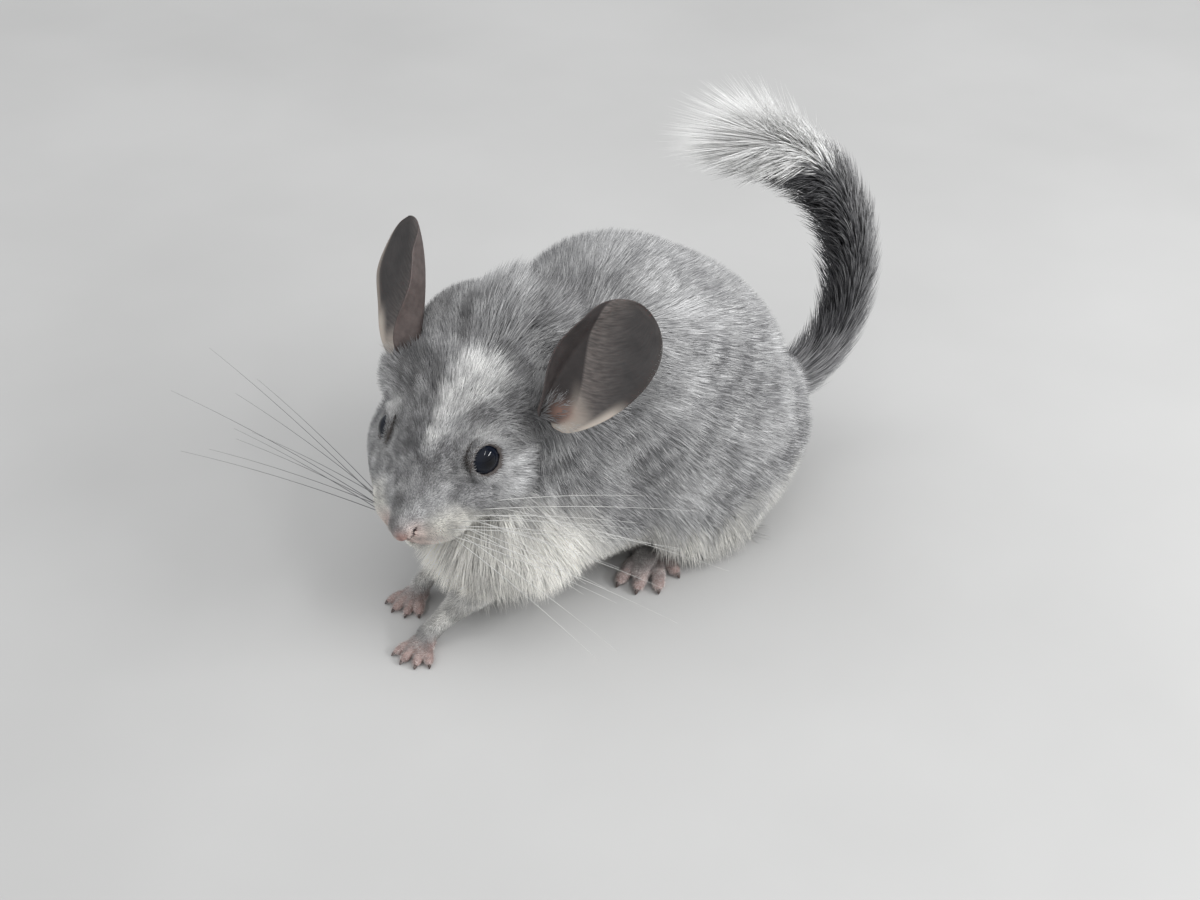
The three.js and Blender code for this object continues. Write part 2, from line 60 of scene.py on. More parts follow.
BODY_FUR, HEAD_FUR, MUZZLE_FUR = 6.2, 3.6, 1.0  # how far the coat stands out from the skin
NAPE_FUR, UNDER_FUR = 4.5, 4  # how much farther behind the head and under the belly
GRID = 0.7  # spacing of the skin's mesh
ROUGH_BLOCK = 4  # cells between the first, rough samples of the skin's form
LEGS_TOP, EYE_NEIGHBOURHOOD = 38, 12  # how high the legs and how near an eye its lid are formed
FLOOR_GAP = 0.6  # the least height of a hair's tip
COAT_PIECES = {"body": 7, "head": 3}
COAT_COVER = {"body": 17.5, "head": 11.0, "legs": 9.0}  # how many hairs lie over each place
LOCK_SPACING = {"body": 2.4, "head": 1.4}  # how far apart the locks' leaders are
LOCK_PULL = {"body": 0.14, "head": 0.08}  # how far a hair's tip is drawn to its leader's
HAIR_WIDTHS = (0.22, 0.38)  # thinnest and thickest in the coat
EAR_HAIRS, EAR_HAIR_WIDTH = 2400, 0.13
TAIL_HAIRS, TAIL_HAIR_LENGTHS, TAIL_HAIR_WIDTHS = 7600, (17, 27), (0.3, 0.46)
TIP_HAIRS, TIP_HAIR_LENGTHS, TIP_HAIR_WIDTHS = 2600, (50, 30), (0.2, 0.3)  # longest along the tail's own way
WHISKER_LENGTHS, WHISKER_RADII, WHISKER_SAG = (46, 80), (0.12, 0.03), 0.09
SIDES = (("left", 1), ("right", -1))
UP = np.array([0, 0, 1.0])

random = np.random.default_rng(11)


# Vectors and frames
def turn(axis, angle):
    return np.array(Matrix.Rotation(math.radians(angle), 3, axis))


HEAD_TURN = turn("Z", HEAD_YAW) @ turn("X", HEAD_PITCH) @ turn("Y", -HEAD_ROLL)


def on_head(side, front, high):
    return EYES_MIDDLE + HEAD_TURN @ np.array([side, -front, high], float)


def along_head(side, front, high):
    return unit(HEAD_TURN @ np.array([side, -front, high], float))


def head_place(points):
    """Places in the head's own measures: side, front and high."""
    return (points - EYES_MIDDLE) @ (HEAD_TURN * np.array([1, -1, 1]))


def unit(vectors):
    return vectors / np.maximum(np.linalg.norm(vectors, axis=-1, keepdims=True), 1e-9)


def square_to(axis, way):
    return unit(way - axis * (way @ axis))


def distances(points, place):
    return np.linalg.norm(points - place, axis=1)


def smooth(x, low, high):
    t = np.clip((np.asarray(x, float) - low) / (high - low), 0, 1)
    return t * t * (3 - 2 * t)


def fade(x, low, high):
    return 1 - smooth(x, low, high)


def mix(a, b, t):
    return a + (b - a) * t


def noise(points, size, seed=0):
    """Smooth random values from 0 to 1 on a lattice of the given size."""
    at = points / size + seed * 17.3
    cell = np.floor(at).astype(np.int64)
    part = at - cell
    part = part * part * (3 - 2 * part)
    total = np.zeros(len(points))
    for corner in range(8):
        step = np.array([corner & 1, corner >> 1 & 1, corner >> 2 & 1])
        key = ((cell + step) * np.array([73856093, 19349663, 83492791])).sum(1) ^ (seed * 2654435761)
        key = (key ^ (key >> 13)) * 1274126177 & 0xFFFFFFFF
        key = key ^ (key >> 16)
        weight = np.prod(np.where(step, part, 1 - part), axis=1)
        total += weight * (key & 0xFFFF) / 0xFFFF
    return total


def smooth_path(places, count, from_t=0.0, to_t=1.0):
    """Even points along a curve through the given places, and the curve's length."""
    places = np.asarray(places, float)
    ends = [2 * places[0] - places[1], *places, 2 * places[-1] - places[-2]]
    t = np.linspace(0, 1, 24, endpoint=False)[:, None]
    dense = [0.5 * (2 * b + (c - a) * t + (2 * a - 5 * b + 4 * c - d) * t * t
                    + (3 * b - a - 3 * c + d) * t ** 3)
             for a, b, c, d in zip(ends, ends[1:], ends[2:], ends[3:])]
    dense = np.concatenate([*dense, places[-1:]])
    run = np.concatenate([[0], np.cumsum(np.linalg.norm(np.diff(dense, axis=0), axis=1))])
    wanted = np.linspace(from_t, to_t, count) * run[-1]
    return np.stack([np.interp(wanted, run, dense[:, k]) for k in range(3)], 1), run[-1]


# The animal's soft forms: the same ellipsoids as the solids, whose surface is the coat's outside
TRUNK_BALLS = [
    ((0, 19, 48), (39, 36, 37)), ((0, 38, 28), (35, 30, 27)), ((-1, -5, 58), (41, 38, 46.5)),
    ((-1, 10, 53), (36, 36, 39)), ((-7, -34, 62), (33, 23, 36)), ((0, -24, 33), (33, 36, 25)),
    ((3, -55, 29), (24, 23, 22)), ((2, -56, 42), (17, 15, 15)), ((29, 12, 27), (14, 30, 23)),
    ((-29, 12, 27), (14, 30, 23)), ((3, 62, 27), (11, 14, 12)),
]
HEAD_BALLS = [
    ((0, -18, -1), (28, 18, 16)), ((0, -3, 0), (15, 16, 12)), ((0, 10, -4), (8.4, 17, 8.5)),
    ((0, 8, -14), (9, 17, 7)), ((0, 26.5, -3.5), (3.4, 3.8, 3.4)), ((0, 21.5, -16.5), (5, 6.2, 4.6)),
    ((0, -36, -8), (25, 20, 22)), ((27, -21, 2), (10, 10, 8)), ((-20, -27, 1), (10, 10, 8)),
]
for side in (1, -1):
    HEAD_BALLS += [
        ((side * 15, -4, -12), (13, 17, 12.5)), ((side * 5, 17, -9), (6, 8.5, 7.2)),
        ((side * 9.2, 17.5, -9), (5.5, 6.5, 5.2)), ((side * 13, 8, -8), (7, 9, 7)),
    ]
TRUNK_SOFTNESS, HEAD_SOFTNESS = 5, 2.2


def ball_distance(points, at, size):
    local = (points - np.asarray(at, float)) / np.asarray(size, float)
    near = np.sqrt(np.einsum("ij,ij->i", local, local))
    local /= np.asarray(size, float)
    slope = np.sqrt(np.einsum("ij,ij->i", local, local))
    return near * (near - 1) / np.maximum(slope, 1e-6)


def soft_union(parts, softness):
    total = sum(np.exp(np.clip(-d / softness, -60, 60)) for d in parts)
    return -softness * np.log(np.maximum(total, 1e-26))


def trunk_distance(points):
    return soft_union((ball_distance(points, at, size) for at, size in TRUNK_BALLS), TRUNK_SOFTNESS)


def head_distance(points):
    place = head_place(points)
    return soft_union((ball_distance(place, at, size) for at, size in HEAD_BALLS), HEAD_SOFTNESS)


def head_share(points, low=-5, high=5):
    """How far each place belongs to the head, from 0 to 1, changing over the given width at the neck."""
    return smooth(trunk_distance(points) - head_distance(points), low, high)


def rod_distance(points, places, radii):
    """Distance to a chain of tapered rods."""
    best = np.full(len(points), 1e3)
    for a, b, ra, rb in zip(places, places[1:], radii, radii[1:]):
        line = b - a
        t = np.clip(((points - a) @ line) / (line @ line), 0, 1)
        best = np.minimum(best, distances(points, a + t[:, None] * line) - mix(ra, rb, t))
    return best


# Legs, paws and toes
FORELEG_PATHS = {
    1: [(14, -58, 30), (12, -70, 17), (9, -80, 9), (7.6, -87, 4.5)],
    -1: [(-8, -48, 30), (-10, -60, 17), (-12, -69, 9), (-12.5, -75, 4.5)],
}
FORE_TOES = [(spread * 0.085, None, spread, 6.4 - abs(spread) / 17) for spread in (-34, -11, 11, 32)]


def hind_toes(side):
    """Each toe's place across and back, the way it spreads in degrees and its length."""
    return [(side * -3.2, None, side * -9, 10), (side * 0.6, None, side * 4, 11),
            (side * 4, None, side * 20, 9), (side * 4, 14, side * 48, 7)]


# Each paw's place, heading, half sizes, toes and the toes' radius
PAWS = [
    ((7.6, -88.5, 0), 24, (3.9, 4.2, 4.8), FORE_TOES, 1.4),
    ((-12.5, -76.5, 0), 18, (3.9, 4.2, 4.8), FORE_TOES, 1.4),
    ((20, -5.5, 0), 28, (5.4, 16, 6.4), hind_toes(1), 1.9),
    ((-20, -5.5, 0), -28, (5.4, 16, 6.4), hind_toes(-1), 1.9),
]


def toe_line(paw, toe):
    """The middle line of a toe from its root to its nail's tip."""
    at, heading, (_, half_long, high), _, radius = paw
    side, back, spread, length = toe
    back = half_long * 0.55 if back is None else back
    way = np.array([math.sin(math.radians(spread)), -math.cos(math.radians(spread)), 0])
    steps = ((0, high * 0.4), (length * 0.5, radius * 1.35), (length, radius * 0.85),
             (length + radius * 0.9, radius * 0.8), (length + radius * 1.9, radius * 0.2))
    return [np.array(at) + turn("Z", heading) @ (np.array([side, back - half_long, z]) + way * far)
            for far, z in steps]


def leg_distance(points):
    """Bare legs and feet, a fur's thickness under the solids'."""
    parts = []
    for path in FORELEG_PATHS.values():
        line, _ = smooth_path(path, 10)
        radii = mix(8.5, 3.7, smooth(np.linspace(0, 1, 10), 0, 0.9)) - 1.0
        parts.append(rod_distance(points, line, radii))
    for paw in PAWS:
        at, heading, (wide, long, high), toes, radius = paw
        sole = np.array(at) + np.array([0, 0, high * 0.42])
        local = (points - sole) @ turn("Z", heading)
        parts.append(ball_distance(local, (0, 0, 0), (wide - 0.3, long - 0.3, high * 0.58 - 0.3)))
        for toe in toes:
            radii = radius * np.array([0.85, 1, 0.95, 0.5])
            parts.append(rod_distance(points, toe_line(paw, toe)[:4], radii))
    return soft_union(parts, 0.45)


def eye_at(side):
    return on_head(side * EYE_SIDE, 0, EYE_HIGH)


def eye_way(side):
    return along_head(side * 0.85, 0.3, 0.43)


def eye_gap(points):
    return np.minimum(*(distances(points, eye_at(side)) for _, side in SIDES))


def fur_depth(points, trunk, head):
    """How thick the coat is over each place, from how far the trunk's and the head's outsides are."""
    _, front, high = head_place(points).T
    face = mix(HEAD_FUR, MUZZLE_FUR, smooth(front, -18, 20)) * mix(1, 0.5, smooth(front, 24, 29))
    face = face * mix(1, 1.7, smooth(-high, 6, 15) * fade(front, 0, 14))
    face = face * mix(0.35, 1, smooth(eye_gap(points), 5, 11))
    body = BODY_FUR * mix(0.85, 1, smooth(points[:, 2], 5, 40))
    return mix(face, body, smooth(head - trunk, -6, 6))


def lid_distance(points, side):
    """A ring round the eye's opening, a little longer upward and back."""
    way = eye_way(side)
    local = points - eye_at(side) - way * math.sqrt(EYE_RADIUS ** 2 - EYE_OPENING ** 2)
    ahead = local @ way
    across = local - ahead[:, None] * way
    stretch = 1 - 0.07 * (2 * (unit(across) @ square_to(way, along_head(0, -0.6, 0.8))) ** 2 - 1)
    across = np.linalg.norm(across, axis=1) * stretch
    return np.hypot(across - EYE_OPENING - LID_THICKNESS * 0.5, ahead) - LID_THICKNESS


def skin_distance(points):
    trunk, head = trunk_distance(points), head_distance(points)
    depth = fur_depth(points, trunk, head)
    whole = soft_union([trunk + depth, head + depth], 1.5)
    low = np.flatnonzero(points[:, 2] < LEGS_TOP)
    if len(low):
        whole[low] = soft_union([whole[low], leg_distance(points[low])], 0.8)
    for _, side in SIDES:
        away = distances(points, eye_at(side))
        near = np.flatnonzero(away < EYE_NEIGHBOURHOOD)
        if len(near):
            with_lid = soft_union([whole[near], lid_distance(points[near], side)], 0.45)
            whole[near] = np.maximum(with_lid, EYE_RADIUS + 0.05 - away[near])
    return np.maximum(whole, -points[:, 2])


CORNERS = np.array([(1, 1, 1), (1, -1, -1), (-1, 1, -1), (-1, -1, 1)])


def gradient(field, points, step=0.15):
    return unit(sum(field(points + corner * step)[:, None] * corner for corner in CORNERS))


def onto(field, points, steps):
    """The points moved to where the field is zero."""
    for _ in range(steps):
        distance = field(points)
        points = points - gradient(field, points) * np.clip(distance, -1, 1)[:, None]
    return points


# Nostrils, the cleft of the lip and the mouth, pressed into the muzzle along lines on its skin
def on_muzzle(side, front, high):
    start = on_head(0, 14, -9)
    way = unit(on_head(side, front, high) - start)
    reach = np.arange(0, 30, 0.1)
    outside = skin_distance(start + reach[:, None] * way) > 0
    return start + way * reach[np.argmax(outside)]


def face_lines():
    """The lip's cleft, the mouth and the nostrils: places on the skin, width and depth."""
    nostril = [(0.4, 30, -6.5), (2.0, 29.5, -5.6), (3.6, 28, -3.8), (4.2, 26.5, -2)]
    lines = [([(0, 30, -6.2), (0, 28.5, -9.5), (0, 27, -13)], 0.5, 0.7),
             ([(-7, 17, -15.5), (-4, 24, -14.8), (0, 27, -13.8), (4, 24, -14.8), (7, 17, -15.5)], 0.6, 0.9)]
    lines += [([(side * x, y, z) for x, y, z in nostril], 1.0, 1.6) for _, side in SIDES]
    return [(smooth_path([on_muzzle(*place) for place in places], 8)[0], width, depth)
            for places, width, depth in lines]


MUZZLE_LINES = face_lines()


def line_share(points):
    """How deep each place lies in the nostrils or the mouth, from 0 to 1, and how far it is pressed in."""
    share, press = np.zeros(len(points)), np.zeros(len(points))
    near = np.flatnonzero(distances(points, on_head(0, 24, -9)) < 16)
    for line, width, depth in MUZZLE_LINES:
        distance = np.min(np.linalg.norm(points[near][:, None] - line[None], axis=2), axis=1)
        here = np.exp(-(distance / width) ** 2)
        share[near] = np.maximum(share[near], here)
        press[near] = np.maximum(press[near], here * depth)
    return share, press


# Markings, the same for skin and coat, and painted shade round the ears' roots: shares from 0 to 1 at each
# place
def blaze_share(points, is_head):
    """The white stroke on the forehead, between places given across, ahead and up on the head."""
    local = head_place(points)
    front, high = local[:, 1], local[:, 2]
    stroke, _ = smooth_path([(7.5, -19, 14), (5, -12, 14), (3, -5, 13), (1.5, 2, 11.5)], 12)
    width = mix(1.7, 4.0, smooth(-front, 0, 15))
    gap = np.min(np.linalg.norm(local[:, None, :2] - stroke[None, :, :2], axis=2), axis=1) + 6 * (high < 0)
    return fade(gap + 3.5 * (noise(points, 3, 5) - 0.5), width * 0.5, width * 2.1) * is_head


def cream_share(points, normals, is_head):
    """The pale belly, chest, throat and lower cheeks, and the paler soles."""
    _, y, z = points.T
    side, front, high = head_place(points).T
    wobble = noise(points, 7, 3) - 0.5
    low = smooth(27 - z + 14 * wobble - 10 * normals[:, 2], -4, 13)
    chest = smooth(-y + 0.45 * (40 - z) + 10 * wobble, 34, 52) * fade(z, 38, 52)
    line = mix(5.5, -3.2, smooth(front, 5, 18))
    face = smooth(-high - 0.56 * np.abs(side) + 3 * wobble - line, -3.5, 1.0)
    face = face * mix(0.65, 1, smooth(front, 0, 12)) * fade(high + 2 * wobble, -4.5, -0.5)
    cream = mix(np.maximum(low * 0.9, chest), np.maximum(face, chest * smooth(-high, 4, 12)), is_head)
    on_leg = smooth(20 - z, 0, 6) * smooth(trunk_distance(points), 0, 2)
    return np.maximum(cream * (1 - on_leg), mix(0.6, 0.1, smooth(8 - z, -3, 5)) * on_leg)


def markings(points, normals):
    _, y, z = points.T
    side, front, high = head_place(points).T
    is_head = head_share(points, -8, 6)
    cream = cream_share(points, normals, is_head)
    blaze = blaze_share(points, is_head)
    streaky = head_place(points) * np.array([1.6, 0.6, 1.2])
    mottle = smooth(noise(streaky, 4.2, 8) + 0.6 * noise(streaky, 2.1, 9), 0.6, 1.0)
    speckle = smooth(noise(streaky, 2.6, 14) + 0.6 * noise(points, 1.4, 15), 0.55, 1.05)
    crown = smooth(high, 2, 9) * smooth(-front, -6, 6) * is_head
    nape = smooth(-y, 6, 34) * smooth(z, 58, 80) * (1 - is_head)
    ear_gap = np.minimum(*(distances(points, on_head(*place)) for place in ((26, -15, 6), (-20, -23, 6))))
    ridge = smooth(front, 15, 21) * smooth(high, -6, -2) * fade(np.abs(side + 2.2), 0.6, 3.0)
    dark = np.max([
        crown * (0.3 + 0.6 * mottle),
        nape * (0.15 + 0.5 * mottle),
        # Painted shade round the ears' roots, where the cups overhang the head and hollow into it.
        fade(ear_gap, 5, 13) * 0.75,
        ridge * mix(0.5, 0.95, noise(points, 1.8, 12)),
        mix(0.5, 0.3, smooth(front, 8, 18)) * speckle * is_head * smooth(27 - front, 0, 6),
        fade(eye_gap(points), 6.4, 8.6) * 0.35,
    ], axis=0) * (1 - blaze) * (1 - cream)
    nose = smooth(front, 22, 27) * fade(np.abs(high + 6.5), 4, 8) * (1 - 0.8 * ridge)
    nose = nose * mix(1, 0.5, smooth(side, 3, 8))
    soles = 0.75 * smooth(7 - z, 0, 5) * smooth(-trunk_distance(points), 0.5, -2.0)
    pink = np.maximum(nose, soles)
    brow = np.maximum(*(fade(distances(points, on_head(s * 15.5, -4.5, 7.2)), 2.2, 5.5) for _, s in SIDES))
    blaze = np.max([blaze * mix(0.75, 1, smooth(noise(points, 2.4, 17), 0.3, 0.6)),
                    brow * 0.3, 0.4 * pink * (front > 0)], axis=0)
    waves = np.sin(0.95 * (0.85 * y - 0.75 * z) + 7 * noise(points, 13, 21) + 2.5 * noise(points, 5, 22))
    band = smooth(0.5 + 0.5 * waves, 0.3, 0.9) * smooth(noise(points, 11, 23), 0.2, 0.55)
    flank = (1 - is_head) * smooth(z, 12, 26) * smooth(np.abs(normals[:, 0]), 0.15, 0.7) * (1 - cream)
    shares = {"cream": cream, "blaze": blaze, "dark": dark, "pink": pink, "band": band * flank}
    return {key: np.clip(value, 0, 1) for key, value in shares.items()}


# Where the coat lies: along the skin, backward over the head and body and down the sides
def coat_lie(points, normals):
    x, y, z = points.T
    side = head_place(points)[:, 0]
    is_head = head_share(points, -6, 6)[:, None]
    sideways = np.clip(np.abs(x) / 40, 0, 1)
    body = np.stack([0.12 * np.sign(x), np.ones(len(x)), -0.2 - 0.75 * sideways], 1)
    chest = smooth(-y, 30, 50) * fade(z, 55, 75)
    body = mix(body, np.array([0, 0.15, -1.0]), chest[:, None])
    hem = np.array([0, 0.25, -1.0]) + 0.5 * normals * np.array([1, 1, 0])
    body = mix(body, hem, smooth(28 - z, 0, 8)[:, None])
    down = -0.15 - 0.55 * smooth(np.abs(side), 8, 22)
    out = 0.35 * np.sign(side) * smooth(np.abs(side), 1, 10)
    head = np.stack([out, np.ones(len(x)), down], 1) @ HEAD_TURN.T
    for _, s in SIDES:
        away = points - eye_at(s)
        head = head + unit(away) * fade(np.linalg.norm(away, axis=1), 6, 12)[:, None] * 0.8
    lie = mix(unit(body), unit(head), is_head)
    swirl = np.stack([noise(points, 9, seed) - 0.5 for seed in (31, 32, 33)], 1) * 0.9
    legs = smooth(16 - z, 0, 6) * smooth(trunk_distance(points), 0, 2.5)
    lie = mix(lie, np.array([0, -0.55, -0.8]), legs[:, None]) + swirl * mix(1, 0.4, is_head)
    return unit(lie - (lie * normals).sum(1, keepdims=True) * normals)


# Meshes
# From the animal's frame to the model's, by the middle of the left eye
SHIFT = np.array(sum(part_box("eye_left"), Vector())) * 500 - eye_at(1)


def add_object(name, data, place=(0, 0, 0), rotation=(1, 0, 0, 0)):
    made = bpy.data.objects.new(name, data)
    bpy.context.scene.collection.objects.link(made)
    made.location, made.rotation_mode, made.rotation_quaternion = place, "QUATERNION", rotation
    return made


def mesh_object(name, places, faces, paint, shares=None, bake_map=None, normals=None):
    """A piece in metres on the animal's one body, its shares as attributes, with custom normals if any."""
    mesh = bpy.data.meshes.new(name)
    mesh.from_pydata(((places + SHIFT) / 1000).tolist(), [], faces.tolist(), shade_flat=False)
    mesh.validate()
    for key, values in (shares or {}).items():
        layer = mesh.attributes.new(key, "FLOAT", "POINT")
        layer.data.foreach_set("value", np.asarray(values, np.float32))
    if bake_map is not None:
        layer = mesh.uv_layers.new(name="OFBake")
        layer.data.foreach_set("uv", bake_map[faces.ravel()].astype(np.float32).ravel())
    if normals is not None:
        mesh.normals_split_custom_set_from_vertices(normals.astype(np.float32))
    mesh.materials.append(paint)
    made = add_object(name, mesh)
    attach(made, "root")
    return made


def grid_faces(rows, columns, closed=True):
    """Quads between neighbouring rows of points, which may close into rings."""
    sides = columns if closed else columns - 1
    row, column = np.meshgrid(np.arange(rows - 1), np.arange(sides), indexing="ij")
    a, b = row * columns + column, row * columns + (column + 1) % columns
    return np.stack([a, b, b + columns, a + columns], -1).reshape(-1, 4)


def surface_net(field, low, high, step):
    """A closed mesh of quads where the field changes sign, one vertex in each cell it crosses."""
    axes = [np.arange(start, end + step, step) for start, end in zip(low, high)]
    wide = [axis[::ROUGH_BLOCK] for axis in axes]
    rough = field(np.stack(np.meshgrid(*wide, indexing="ij"), -1).reshape(-1, 3))
    near = [np.minimum((np.arange(len(axis)) + ROUGH_BLOCK // 2) // ROUGH_BLOCK, len(few) - 1)
            for axis, few in zip(axes, wide)]
    values = rough.reshape([len(few) for few in wide])[np.ix_(*near)]
    band = np.argwhere(np.abs(values) < 2 * ROUGH_BLOCK * step)
    values[tuple(band.T)] = field(np.stack([axes[k][band[:, k]] for k in range(3)], 1))
    inside = values < 0
    shape = tuple(n - 1 for n in values.shape)
    ways = np.eye(3, dtype=int)
    count, total = np.zeros(shape), np.zeros(shape + (3,))
    for axis in range(3):
        for a, b in ((0, 0), (0, 1), (1, 0), (1, 1)):
            start = np.insert([a, b], axis, 0)
            v0, v1 = (values[tuple(slice(first, first + n) for first, n in zip(corner, shape))]
                      for corner in (start, start + ways[axis]))
            crosses = (v0 < 0) != (v1 < 0)
            t = np.where(crosses, v0 / np.where(crosses, v0 - v1, 1), 0)
            total += (start + t[..., None] * ways[axis]) * crosses[..., None]
            count += crosses
    used = count > 0
    index = np.full(shape, -1)
    index[used] = np.arange(used.sum())
    places = np.array(low) + step * (np.argwhere(used) + total[used] / count[used][:, None])
    quads = []
    for axis in range(3):
        here, ahead = [slice(1, -1)] * 3, [slice(1, -1)] * 3
        here[axis], ahead[axis] = slice(None, -1), slice(1, None)
        first, second = inside[tuple(here)], inside[tuple(ahead)]
        at = np.argwhere(first != second)
        b, c = ways[(axis + 1) % 3], ways[(axis + 2) % 3]
        ring = np.stack([index[tuple((at + corner).T)] for corner in (b + c, c, 0 * c, b)], 1)
        quads.append(np.where(first[tuple(at.T)][:, None], ring, ring[:, ::-1]))
    return places, np.concatenate(quads)


# Materials
class Paint:
    """Short names for the nodes that a material or the world is made of."""

    def __init__(self, owner, **settings):
        owner.use_nodes = True
        self.owner, self.tree = owner, owner.node_tree
        self.shader = next(node for node in self.tree.nodes if "OUTPUT" not in node.type)
        for key, value in settings.items():
            self.shader.inputs[key.replace("_", " ")].default_value = value

    def new(self, kind, **values):
        node = self.tree.nodes.new(kind)
        for key, value in values.items():
            setattr(node, key, value)
        return node

    def connect(self, source, target):
        """Set a socket to a number or a colour, or link it to another socket."""
        if isinstance(source, bpy.types.NodeSocket):
            self.tree.links.new(source, target)
        else:
            target.default_value = (*source, 1) if isinstance(source, tuple) else source

    def share(self, name, strength=None):
        """A share kept in the mesh, weakened by a number or by another value."""
        found = self.new("ShaderNodeAttribute", attribute_name=name).outputs["Fac"]
        if strength is None:
            return found
        node = self.new("ShaderNodeMath", operation="MULTIPLY")
        self.connect(found, node.inputs[0])
        self.connect(strength, node.inputs[1])
        return node.outputs[0]

    def noise(self, scale, detail, place=None):
        node = self.new("ShaderNodeTexNoise")
        self.connect(scale, node.inputs["Scale"])
        self.connect(detail, node.inputs["Detail"])
        self.connect(place or self.new("ShaderNodeTexCoord").outputs["Object"], node.inputs["Vector"])
        return node.outputs["Fac"]

    def ramp(self, source, *stops):
        """Colours along a value, from stops whose first two are in rising order."""
        node = self.new("ShaderNodeValToRGB")
        elements = node.color_ramp.elements
        for number, (place, colour) in enumerate(stops):
            stop = elements[number] if number < 2 else elements.new(place)
            stop.position, stop.color = place, (*colour, 1)
        self.connect(source, node.inputs["Fac"])
        return node.outputs["Color"]

    def blend(self, share, first, second, mode="MIX"):
        node = self.new("ShaderNodeMix", data_type="RGBA", blend_type=mode)
        colours = [socket for socket in node.inputs if socket.type == "RGBA"]
        for source, target in zip((share, first, second), (node.inputs[0], *colours)):
            self.connect(source, target)
        return next(socket for socket in node.outputs if socket.type == "RGBA")

    def grain(self, scale, detail, dark, pale):
        """Fine mottling between two colours."""
        return self.ramp(self.noise(scale, detail), (0.3, dark), (0.7, pale))

    def layers(self, colour, *tints):
        """Colours laid over one another, each by a share and its strength."""
        for share, strength, tint in tints:
            colour = self.blend(self.share(share, strength), colour, tint)
        return colour

    def bump(self, height, strength, distance):
        node = self.new("ShaderNodeBump")
        for source, key in ((strength, "Strength"), (distance, "Distance"), (height, "Height")):
            self.connect(source, node.inputs[key])
        self.connect(node.outputs["Normal"], self.shader.inputs["Normal"])

    def coloured(self, colour):
        """The finished material or world, with its colour linked."""
        self.connect(colour, self.shader.inputs[0])
        return self.owner


def material(name, **settings):
    return Paint(bpy.data.materials.new(name), **settings)


GREY_ROOT, GREY_MID, GREY_TIP = (0.18, 0.181, 0.184), (0.38, 0.382, 0.388), (0.7, 0.702, 0.706)
CREAM_ROOT, CREAM_TIP = (0.62, 0.6, 0.55), (0.93, 0.915, 0.86)
NO, FULL = (0, 0, 0), (1, 1, 1)


def coat_material():
    """Each hair runs from a dark root to a pale tip, some with a black point, over the markings."""
    paint = material("coat_fur", Roughness=0.72, Specular_IOR_Level=0.25)
    along = paint.share("along")
    tip = paint.ramp(along, (0.62, NO), (0.85, FULL))
    grey = paint.ramp(along, (0, GREY_ROOT), (0.74, GREY_TIP), (0.4, GREY_MID))
    cream = paint.ramp(along, (0, CREAM_ROOT), (0.6, CREAM_TIP))
    colour = paint.layers(
        grey, ("cream", None, cream), ("dark", 0.85, (0.075, 0.074, 0.076)),
        ("blaze", None, (0.93, 0.93, 0.915)), ("band", 0.85, (0.13, 0.131, 0.137)),
        ("pink", 0.55, (0.56, 0.35, 0.3)), ("tick", tip, (0.05, 0.05, 0.052)))
    lightness = paint.ramp(paint.share("tone"), (0, (0.42, 0.42, 0.43)), (1, (1.45, 1.45, 1.44)))
    return paint.coloured(paint.blend(1.0, colour, lightness, "MULTIPLY"))


def skin_material():
    """Skin under the coat: dark grey as painted shade between the hairs, pink and finely wrinkled where it
    is bare.
    """
    paint = material("skin", Roughness=0.6, Subsurface_Weight=0.03, Subsurface_Scale=0.002,
                     Subsurface_Radius=(1.0, 0.4, 0.25))
    fine = paint.noise(1800, 5)
    # Painted shade: the skin under the coat is dark grey for the shade deep between the hairs.
    under = paint.ramp(fine, (0.3, (0.2, 0.2, 0.205)), (0.75, (0.33, 0.331, 0.338)))
    pale = paint.ramp(fine, (0.3, (0.42, 0.39, 0.34)), (0.75, (0.66, 0.64, 0.59)))
    bare = paint.grain(700, 6, (0.24, 0.14, 0.125), (0.47, 0.31, 0.275))
    paint.bump(fine, 0.5, 0.0002)
    # Near black in the nostrils, the lip's cleft and the mouth is painted shade in these hollows.
    return paint.coloured(paint.layers(
        under, ("cream", None, pale), ("dark", 0.6, (0.07, 0.07, 0.075)), ("pink", None, bare),
        ("lid", None, (0.075, 0.064, 0.06)), ("painted_groove_shade", None, (0.03, 0.018, 0.018))))


# Skin
def refine(places, quads, finer):
    """Split the skin's faces into triangles, smaller ones where the finer tests say so."""
    rough = bpy.data.meshes.new("rough_skin")
    rough.from_pydata(places.tolist(), [], quads.tolist())
    form = bmesh.new()
    form.from_mesh(rough)
    bpy.data.meshes.remove(rough)
    for near in finer:
        form.verts.ensure_lookup_table()
        chosen = near(np.array([vertex.co for vertex in form.verts]))
        edges = [edge for edge in form.edges if all(chosen[vertex.index] for vertex in edge.verts)]
        bmesh.ops.subdivide_edges(form, edges=edges, cuts=1, use_grid_fill=True)
        form.verts.index_update()
    bmesh.ops.triangulate(form, faces=form.faces[:])
    form.verts.index_update()
    places = np.array([vertex.co for vertex in form.verts])
    triangles = np.array([[vertex.index for vertex in face.verts] for face in form.faces])
    form.free()
    return places, triangles


def near_nose(points):
    return distances(points, on_head(0, 27, -9)) < 8.5


def near_details(points):
    return near_nose(points) | (eye_gap(points) < 8.5) | ((points[:, 2] < 6) & (trunk_distance(points) > 1))


rough_places, quads = surface_net(skin_distance, (-48, -106, -1.5), (48, 82, 112), GRID)
rough_places = onto(skin_distance, rough_places, 2)
places, triangles = refine(rough_places, quads, [near_details, near_nose])
places = onto(skin_distance, places, 1)
normals = gradient(skin_distance, places)
